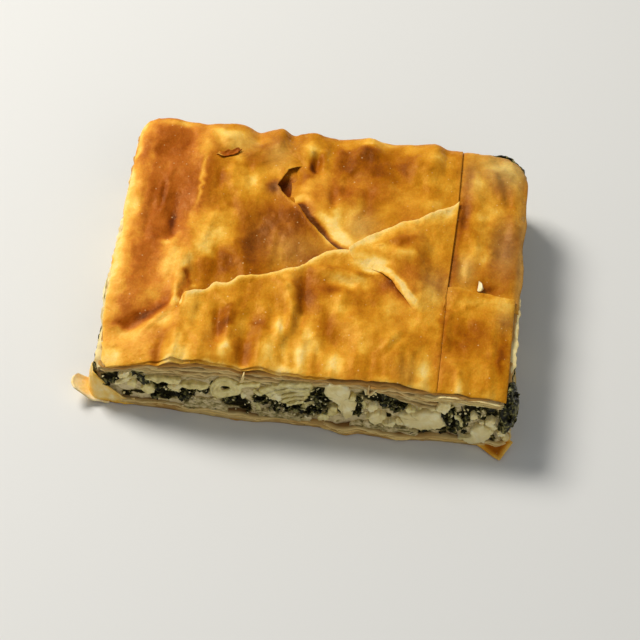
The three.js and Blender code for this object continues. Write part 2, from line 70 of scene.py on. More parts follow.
# ---- Where the top leaves overlap, as (x, y) in plan ----
JUNCTION = (9, -1.2)
SEAM = [(43.4, HALF_DEPTH), (43.6, 28), (42.2, -9), (41.3, -30), (41.6, -HALF_DEPTH)]
FRONT_LEAF_EDGE = [
    (-HALF_LENGTH, -44.5), (-57, -43), (-50, -40.4), (-45, -37), (-42, -33.4), (-41, -30.6),
    (-40.4, -27.4), (-37, -25.8), (-33.4, -23.8), (-31.4, -21.2), (-28, -21.2), (-26.3, -20.4),
    (-24, -17.6), (-20.4, -16.5), (-17, -15.6), (-12.7, -13.4), (-9.9, -11.2), (-6.3, -10), (-2.7, -6.8),
    (1.2, -3.4), (5, -1.8), JUNCTION, (22, -1), (46, -4),
]
WEDGE_UPPER_EDGE = [
    JUNCTION, (10.4, 1), (14.4, 6), (19.4, 9.4), (23, 11.6), (25.4, 14.4), (29.6, 15.8), (33, 18.8),
    (36.8, 22.4), (40.6, 25), (43.6, 28),
]
WEDGE_LOWER_EDGE = [
    JUNCTION, (12.4, -5.4), (18.5, -7.8), (22.3, -10.2), (25.9, -15), (29.2, -19.2), (33, -24.4),
    (36, -28.6), (41.4, -38),
]
BACK_LEAF_EDGE = [
    (-20, 54), (-17, 44), (-13.6, 35.8), (-12.2, 31), (-11.8, 26.6), (-11.9, 22.8), (-9.6, 17.6),
    (-6.8, 12.4), (-0.8, 7), (2, 3.8), (6, 0.4), (8.4, -1.2), (12, -1), (22, 5), (46, 20),
]
# The left leaf's free edge, as (y, x): hidden under the front leaf, then the slit's lip, the torn hole and on
LEFT_LEAF_EDGE = [
    (-54, 10), (-20, 10), (-4, 9.6), (-1.4, 8.6), (0, 7), (4, 2.4), (8, -1), (13.4, -6), (18, -8.4),
    (21.6, -12.6), (24.4, -15.4), (27.4, -16.8), (31.4, -15.4), (35.4, -13.8), (37.4, -9), (41, -4),
    (54, -2),
]
SLIT = [(-9.4, 19.6), (-5, 13.6), (1.6, 5.6), (7, 0.4)]
TORN_HOLE = [(-14.4, 29), (-12.4, 27)]
FLAKE = (-34.2, 39.2)
FLAKE_LENGTH = 8
FLAKE_WIDTH = 2.8
FLAKE_TURN = 0.45
RIGHT_LEAF_EDGE = [(38, -11), (42.2, -11.2), (46, -10.8), (51, -12), (55, -11.7), (58, -12.8), (64, -12.9)]

# ---- Folds of the top: ridge or furrow along a line, as (x1, y1, x2, y2, width, height) ----
FOLDS = [
    # the reddish left side sags between its creases
    (-53, 44, -54, -18, 8, -0.8), (-49, 17, -48.5, -1, 2.6, -0.9), (-41, 46, -41, 16, 3.4, 0.6),
    (-60, 40, -61, -10, 4, 0.5), (-43.2, -11, -42.2, -23, 2.2, 1), (-39, -11, -38.4, -20, 2, -0.7),
    # the hollow behind the front leaf
    (-22, 8, -12, -5, 9, -1.8), (-32, 4, -33, -14, 5, -0.5), (-30, 30, -24, 14, 5, 0.8),
    # the front leaf puckers towards the cut
    (-57, -41, -47, -28.5, 3.4, -1.4), (-45.6, -38, -45, -54, 2.1, -0.6), (-41, -28, -41.3, -50, 3, 0.6),
    (-33, -46, -33, -55, 6, 1.2), (-29, -31, -28, -45, 2.2, -0.9), (-24.5, -28, -25, -50, 3, 0.6),
    (-18.6, -33, -19, -52, 3, -0.9), (-12.6, -36, -13, -53, 3, 0.7), (-8.6, -14, -5, -27, 1.7, 0.9),
    (-5, -27, -8, -42, 1.7, 0.9), (-2.8, -12, -1.8, -28, 2.6, -0.9), (-1, -10.6, 13, -11.6, 2.2, 0.9),
    (1, -16.5, 11, -17, 2.2, -0.5), (13, -31, 22, -38, 4.5, 0.8), (8.6, -40, 9, -53, 3, -0.7),
    (28, -34, 30, -53, 3.5, 0.6),
    # ripples along the back edge
    (-55, 53, -54, 46, 5, 0.8), (-33, 54, -34, 45, 5, 1.2), (-44, 54, -44, 46, 4, -0.5),
    (-25, 54, -25, 47, 3, -0.9), (-18, 54, -18, 46, 3.2, 1.1), (-13, 54, -13, 48, 2.4, -0.7),
    (-7, 54, -7, 45, 3.2, 1.2), (2, 54, 1, 46, 3.4, -0.7), (12, 54, 12, 47, 3.4, 1),
    (22, 54, 21, 46, 4, -0.6), (33, 54, 33, 44, 5, 1.3),
    # dents in the back leaf
    (-5, 41, -4.2, 35.5, 1.6, -1.2), (2, 24.5, 2.4, 20, 1.3, -0.8), (8, 34, 7, 27, 2, -0.7),
    (14, 44, 17, 30, 4, 0.7), (-35.5, 38.5, -32.5, 40.2, 1.7, -0.9),
    # the wedge and the right-hand strip
    (22, 1, 30, 4, 5, 0.9), (34, 8, 37, -8, 3, -0.6), (49, 36, 48.4, 14, 3.6, 0.8),
    (57, 15, 58, -2, 3.8, -1), (55, -8, 57, -8.5, 2.6, -0.8), (45, -14.6, 63, -15.4, 2.2, 0.6),
    (47, -25, 47, -37, 3.4, -0.5), (60, 46, 54, 40, 4, 0.7),
]

# Small crinkles that are too fine for the solid, in the same form
CRINKLES = [
    (-46, 50, -45, 38, 1.1, 0.35), (-40, 49, -37, 43, 0.9, -0.5), (-38, 50, -35.4, 45, 0.8, 0.4),
    (-27, 34, -25, 22, 1.4, -0.4), (-52, 30, -53, 8, 1.2, 0.4), (-56, 22, -57, -4, 1.1, -0.4),
    (-53.2, 22, -53.4, 12, 0.9, -0.6), (-47, -2, -47.6, -18, 1.2, 0.5), (-44, -11, -44.2, -24, 0.9, 0.4),
    (-40.8, -17, -40.8, -23, 1.0, -0.7), (-43.4, -23, -43.6, -31, 0.8, 0.9),
    (-41.2, -26, -41, -32, 0.6, -0.7), (-44, -32, -50, -39.6, 1.4, 0.7), (-45, -46, -45, -55, 1.2, -0.4),
    (-41, -42, -41, -55, 1.2, 0.6), (-35, -28, -35.4, -40, 1.3, -0.4), (-37.6, -26, -38, -38, 1.6, 0.15),
    (-31, -24, -27, -30, 1.3, 0.45), (-29, -33, -28.6, -44, 1.2, -0.6), (-25.4, -33, -25, -46, 1.3, 0.6),
    (-21.6, -20, -22, -30, 1.3, -0.4), (-19.6, -41, -19.4, -52, 1.8, -0.6),
    (-15.4, -38, -15, -52, 1.3, 0.5), (-16, -33, -14, -30, 1.6, 0.4), (-12.6, -16, -9, -20, 1.0, 0.7),
    (-9, -20, -7, -26, 1.0, 0.8), (-7, -26, -5.6, -38, 1.0, 0.7), (-11.6, -28, -12, -38, 1.3, -0.5),
    (-9.6, -33, -9.6, -41, 1.0, 0.7), (-36.6, -44, -37, -54, 0.9, -0.45), (-33, -46, -33, -54, 0.9, 0.35),
    (-6.6, -42, -7, -54, 1.2, -0.5), (-1.6, -41, -1.4, -54, 1.3, 0.5), (-3.4, -14, -3.2, -34, 1.4, -0.7),
    (4, -44, 4, -54, 1.1, -0.4), (8.6, -43, 8.8, -53, 1.2, 0.5), (3, -10, 12, -11, 1.4, 0.6),
    (4, -14, 12, -14.6, 1.2, -0.5), (9, -19, 8, -29, 1.5, 0.5), (5.4, -30, 5.6, -42, 1.6, -0.5),
    (14, -28, 16, -38, 2, 0.5), (15, -45, 15.4, -54, 1.1, 0.35), (20, -43, 20, -54, 1.3, -0.5),
    (25, -45, 25.6, -54, 1, 0.35), (23.6, -41, 28.4, -33, 1, 0.4), (26, -41, 30, -35, 1, -0.3),
    (30.4, -41, 31.4, -54, 1.4, -0.5), (37.6, -40, 37.4, -54, 1.6, 0.3), (34, -42, 34, -54, 1.2, -0.4),
    (47.6, -46, 48, -54, 1.2, 0.6), (45, -42, 50, -41.4, 0.6, 0.25), (44.6, -40.6, 50, -40, 0.6, -0.25),
    (52, -45, 52, -54, 1.2, -0.35), (57, -42, 58, -54, 1.2, 0.45), (57.6, -24, 57.4, -38, 1.4, 0.4),
    (44.6, -24, 44.6, -38, 1.2, -0.3), (8, -22, 20, -21, 1.6, 0.35), (16, -12, 21, -15, 1.6, -0.4),
    (26, -24, 31, -30, 1.4, -0.3), (33, -20, 36, -27, 2.4, 0.5), (16, 44, 15, 35, 1.2, -0.4),
    (12, 48, 12, 40, 1.5, -0.5), (-5.2, 43, -5, 36, 1.0, -0.7), (-2.4, 45, -2.4, 36, 1.2, 0.5),
    (-1, 34, -1.6, 27, 1.2, 0.4), (5, 46, 4.6, 38, 1.2, -0.4), (8, 46, 8, 37, 1.1, 0.4),
    (5.4, 33, 5.6, 24, 1.0, -0.5), (1.6, 28, 2, 20, 0.9, -0.5), (13.4, 27, 13, 16, 1.3, -0.5),
    (22, 41, 23, 31, 1.5, -0.35), (28, 45, 28, 34, 1.4, 0.4), (33, 40, 34, 32, 2, 0.5),
    (38, 50, 38, 40, 1.3, -0.4), (34, 52, 34, 44, 1.6, 0.4), (24, 9, 30, 13, 1.4, 0.3),
    (20, 4, 26, 6, 1.6, 0.5), (25, 0, 28, -2, 1.4, 0.5), (33, 12, 37, 4, 1.6, -0.4),
    (-25.6, 54, -25.6, 49, 2, -0.7), (-14, 54, -14, 50, 1.6, -0.6), (18, 54, 18, 49, 3, -0.6),
    (-17.6, 54, -17.6, 47, 1.6, 0.5), (38.6, 54, 38.6, 50, 1.8, -0.5), (49.4, 54, 49.4, 50, 2, -0.6),
    (-36, 31, -36, 23, 1.4, -0.5), (-32, 34, -31, 24, 1.3, 0.4), (-26, 40, -24, 34, 1.8, 0.5),
    (-21, 12, -21, -6, 2, -0.4), (-15, 8, -16, -8, 1.0, 0.35), (-33, -3, -32, -13, 1.3, -0.4),
    (-24, -8, -23, -14, 1.2, 0.35), (-36, 10, -38, -4, 1.4, 0.45), (52, 30, 53, 20, 1.4, -0.35),
    (61, 32, 62, 16, 1.3, 0.35), (55, 50, 49, 45, 1.6, -0.35), (48.4, 42, 48, 32, 1.4, 0.5),
    (57, 42, 60, 30, 1.2, -0.5), (54, 44, 57, 32, 1.0, 0.4), (45.6, 30, 45.6, 16, 1.1, -0.5),
    (49.8, 10, 49.4, 0, 1.4, 0.5), (46, 2, 46.4, -8, 1.0, -0.3), (47.8, 4, 47.6, -7, 0.9, 0.35),
    (59, 20, 58, 6, 1.6, -0.5), (63, 44, 58, 50, 1.4, 0.4),
]

# The crust's underside along the front cut, as (x, z)
FRONT_UNDERSIDE = [
    (-65, 10.4), (-58, 13.8), (-52, 16), (-47, 14.7), (-31, 14.5), (-26, 17.4), (-18, 16), (-10, 14.7),
    (-3, 16), (4, 18), (11, 20.3), (18, 19.5), (24, 19.2), (33, 15.8), (37, 14.6), (43, 14.8), (47, 18),
    (55, 20.3), (60, 18.2), (65, 17),
]


# ---- Numbers ----
def smooth(start, end, value):
    t = np.clip((value - start) / (end - start), 0, 1)
    return t * t * (3 - 2 * t)


def mix(a, b, t):
    return a + (b - a) * t


def bell(distance, width):
    return np.exp(-((distance / width) ** 2))


def decay(distance, length):
    return np.exp(-np.maximum(0, distance) / length)


def grid(rows, columns):
    """Two arrays over a grid, each from (start, end, count): one changes by the row, one by the column."""
    return np.meshgrid(np.linspace(*rows), np.linspace(*columns), indexing="ij")


def lattice(i, j, seed):
    n = np.sin(i * 127.1 + j * 311.7 + seed * 74.7) * 43758.5453
    return n - np.floor(n)


def noise(x, y, seed):
    """Smooth noise from -1 to 1, with features about one unit across."""
    x, y = np.broadcast_arrays(np.asarray(x, float), np.asarray(y, float))
    i, j = np.floor(x), np.floor(y)
    u, v = smooth(0, 1, x - i), smooth(0, 1, y - j)
    near = mix(lattice(i, j, seed), lattice(i + 1, j, seed), u)
    far = mix(lattice(i, j + 1, seed), lattice(i + 1, j + 1, seed), u)
    return 2 * mix(near, far, v) - 1


def noise3(p, seed):
    """Smooth noise at points in space, from three plane noises."""
    x, y, z = p[..., 0], p[..., 1], p[..., 2]
    total = noise(x + 0.7 * z, y, seed) + noise(y + 0.7 * x, z, seed + 1) + noise(z + 0.7 * y, x, seed + 2)
    return total / 1.8


def from_segment(x, y, x1, y1, x2, y2):
    dx, dy = x2 - x1, y2 - y1
    t = np.clip(((x - x1) * dx + (y - y1) * dy) / (dx * dx + dy * dy), 0, 1)
    return np.hypot(x - x1 - t * dx, y - y1 - t * dy)


def from_line(x, y, points):
    nearest = np.full(np.shape(x), 1e9)
    for (x1, y1), (x2, y2) in zip(points, points[1:]):
        nearest = np.minimum(nearest, from_segment(x, y, x1, y1, x2, y2))
    return nearest


def graph(points, at):
    """A list of (at, value) read at some places, in straight steps."""
    keys, values = zip(*sorted(points))
    return np.interp(at, keys, values)


def along(points, t):
    """A smooth curve through the points, read at shares t of its length."""
    p = np.array(points, float)
    steps = np.hypot(*np.diff(p, axis=0).T)
    knots = np.concatenate([[0], np.cumsum(steps)])
    slopes = np.gradient(p, knots, axis=0)
    s = np.clip(t, 0, 1) * knots[-1]
    i = np.clip(np.searchsorted(knots, s, side="right") - 1, 0, len(p) - 2)
    h = (knots[i + 1] - knots[i])[..., None]
    w = ((s - knots[i])[..., None]) / h
    return (
        (2 * w**3 - 3 * w**2 + 1) * p[i] + (w**3 - 2 * w**2 + w) * h * slopes[i]
        + (3 * w**2 - 2 * w**3) * p[i + 1] + (w**3 - w**2) * h * slopes[i + 1]
    )


def wobbled(line, reach, wavelength, seed):
    """A line of points in plan, shifted sideways by noise."""
    direction = np.gradient(line, axis=0)
    direction /= np.maximum(np.hypot(*direction.T)[:, None], 1e-9)
    side = np.stack([-direction[:, 1], direction[:, 0]], -1)
    shift = noise(line[:, 0] / wavelength, line[:, 1] / wavelength, seed)
    shift = shift + 0.5 * noise(line[:, 0] / wavelength * 2.7, line[:, 1] / wavelength * 2.7, seed + 1)
    return line + side * (reach * shift)[:, None]


# ---- The form of the piece ----
def sag(x, y):
    """The front left corner is pressed down, and the other corners sink a little."""
    front_left = 8.6 * smooth(-39, -66, x) * smooth(-22, -56, y)
    front_right = 1.3 * (smooth(30, 42, x) + smooth(54, 66, x)) * smooth(-40, -55, y)
    back_left = 1.6 * smooth(-52, -66, x) * smooth(40, 55, y)
    return front_left + front_right + back_left


def folds_at(x, y, folds):
    z = np.zeros(np.shape(x))
    for x1, y1, x2, y2, width, height in folds:
        d = from_segment(x, y, x1, y1, x2, y2) / width
        z += height * np.exp(-d * d)
    return z


def inside(x, y):
    return np.maximum(0, np.minimum(HALF_LENGTH - np.abs(x), HALF_DEPTH - np.abs(y)))


def crust_level(x, y):
    """The level of the lowest browned leaf."""
    z = TOP_HEIGHT + 0.9 * smooth(0, 30, x) - sag(x, y) + folds_at(x, y, FOLDS)
    z = z + 0.5 * noise(x / 10, y / 10, 11)
    return z - EDGE_ROUNDING * np.exp(-inside(x, y) / 2.4)


def baked_relief(x, y):
    """Crinkles, blisters and slight ripples on every browned leaf."""
    z = folds_at(x, y, CRINKLES)
    z += 0.24 * noise(x / 5.3 + y / 19, y / 7.1, 20) + 0.18 * noise(x / 3.1, y / 4.2 + x / 11, 21)
    z += 0.11 * noise(x / 1.7, y / 2.1, 22) + 0.05 * noise(x / 0.8, y / 3.6, 25)
    blister = noise(x / 2.3, y / 2.3, 23)
    z += 0.3 * smooth(0.62, 0.95, blister)
    return z + 0.04 * noise(x / 0.8, y / 0.8, 24)


def under_crust(x, y, below):
    """A level some way under the browned leaves, which follows their furrows."""
    return crust_level(x, y) + np.minimum(0, baked_relief(x, y)) - below


def seam_at(y):
    return graph([(b, a) for a, b in SEAM], y)


def away_from_seam(x, y):
    """The leaves left of the seam come down to the strip beside it."""
    return smooth(0, 12, seam_at(y) - x)


def seam_lip(x, y):
    return 0.2 * decay(seam_at(y) - x, 0.9)


def seam_groove(x, y):
    return 0.3 * bell(x - seam_at(y), 0.8)


def strip_level(x, y):
    return crust_level(x, y) + baked_relief(x, y) - seam_groove(x, y)


def left_level(x, y):
    lip = 0.4 * decay(graph(LEFT_LEAF_EDGE, y) - x, 1.4) * smooth(37, 33, y)
    dip = 1.2 * bell(from_line(x, y, FRONT_LEAF_EDGE[5:-2]), 7) * smooth(-40, -32, x)
    return crust_level(x, y) + LEAF_STEP + baked_relief(x, y) + lip - dip


def front_sheet(x, y):
    """The front leaf and the wedge lie on one swelling."""
    puff = 1.1 * smooth(-44, -36, x) * decay(from_line(x, y, FRONT_LEAF_EDGE), 16)
    return crust_level(x, y) + 0.3 + away_from_seam(x, y) * (0.7 + puff) + baked_relief(x, y) + seam_lip(x, y)


def front_level(x, y):
    d = from_line(x, y, FRONT_LEAF_EDGE[:-2])
    return front_sheet(x, y) + 0.4 * smooth(-43.4, -40.4, x) * bell(d, 1.3)


def back_level(x, y):
    slit = from_line(x, y, BACK_LEAF_EDGE[2:12])
    behind = from_line(x, y, BACK_LEAF_EDGE[:3])
    swell = 0.9 * decay(y - 24, 10) * smooth(-16, -8, x)
    drop = 2.8 * bell(slit, 3.3) + 0.5 * bell(behind, 3)
    rise = 0.3 + away_from_seam(x, y) * (0.55 + swell) - drop
    return crust_level(x, y) + rise + baked_relief(x, y) + seam_lip(x, y)


def wedge_roll(x, y):
    """The wedge's rolled lower edge, from 0 to 1. It fades out towards the front."""
    d = from_line(x, y, WEDGE_LOWER_EDGE)
    return smooth(-25, -18, y) * smooth(13, 24, x) * bell(d - 1.2, 1.6)


def wedge_level(x, y):
    lies_over = mix(-0.3, 0.15 + 0.35 * away_from_seam(x, y), smooth(-27, -17, y))
    lip = 0.35 * bell(from_line(x, y, WEDGE_UPPER_EDGE), 1.3)
    by_edge = bell(from_line(x, y, WEDGE_LOWER_EDGE), 1.4)
    melted = 0.6 * smooth(25, 15, x) * smooth(9, 13, x) * by_edge
    return front_sheet(x, y) + lies_over - melted + 0.7 * wedge_roll(x, y) + lip


def right_level(x, y):
    lip = 0.5 * decay(graph(RIGHT_LEAF_EDGE, x) - y, 3)
    return crust_level(x, y) + LEAF_STEP + lip + baked_relief(x, y) - seam_groove(x, y)


def stack_underside(x, y):
    level = TOP_HEIGHT - STACK_THICKNESS - 0.72 * sag(x, y) + 0.9 * noise(x / 13, y / 13, 12)
    return mix(level, graph(FRONT_UNDERSIDE, x), smooth(-44, -53, y))


def drawn_in(x, y):
    """How far the front left corner of the top leaves is drawn in."""
    return 1.2 * smooth(-54, -63, x) * smooth(-28, -48, y)


def plan(u, v, a, b, seed):
    """Points of the unit square placed in a rounded rectangle of some half length and half depth."""
    reach = np.maximum(np.maximum(np.abs(u), np.abs(v)), 1e-9)
    edge_x, edge_y = u / reach * a, v / reach * b
    radius = np.where(v > 0, BACK_CORNER_RADIUS, FRONT_CORNER_RADIUS)
    corner_x, corner_y = np.sign(u) * (a - radius), np.sign(v) * (b - radius)
    round_part = (np.abs(edge_x) > a - radius) & (np.abs(edge_y) > b - radius)
    d = np.maximum(np.hypot(edge_x - corner_x, edge_y - corner_y), 1e-9)
    x = np.where(round_part, corner_x + radius * (edge_x - corner_x) / d, edge_x)
    y = np.where(round_part, corner_y + radius * (edge_y - corner_y) / d, edge_y)
    waver = 0.8 * noise(x / 11, y / 11, seed) + 0.4 * noise(x / 4.5, y / 4.5, seed + 7)
    pull = reach**6
    push = 1 + pull * waver / math.hypot(a, b)
    return (u * a + pull * (x - edge_x)) * push, (v * b + pull * (y - edge_y)) * push


def cut_half_sizes(down):
    """Half the length and depth of the cut, a share of the height down from the top."""
    return HALF_LENGTH - CUT_INSET + SIDE_FLARE * down, HALF_DEPTH - CUT_INSET + END_FLARE * down


def cut_plan(u, v, down):
    return plan(u, v, *cut_half_sizes(down), 3)


def outward_of(ring):
    """Unit directions out of a closed ring in plan that runs anticlockwise."""
    step = np.roll(ring, -1, 0) - np.roll(ring, 1, 0)
    outward = np.stack([step[:, 1], -step[:, 0]], -1)
    return outward / np.maximum(np.hypot(*outward.T)[:, None], 1e-9)


def cut_ring(count, down):
    """The cut's outline at a share of the way down: points and outward directions, evenly spaced."""
    share = np.linspace(-1, 1, 2001)[:-1]
    ones = np.ones_like(share)
    u = np.concatenate([share, ones, -share, -ones])
    v = np.concatenate([-ones, share, ones, -share])
    x, y = cut_plan(u, v, down)
    ring = np.stack([x, y], -1)
    closed = np.concatenate([ring, ring[:1]])
    lengths = np.concatenate([[0], np.cumsum(np.hypot(*np.diff(closed, axis=0).T))])
    at = np.arange(count) / count * lengths[-1]
    points = np.stack([np.interp(at, lengths, closed[:, k]) for k in (0, 1)], -1)
    return points, outward_of(points)


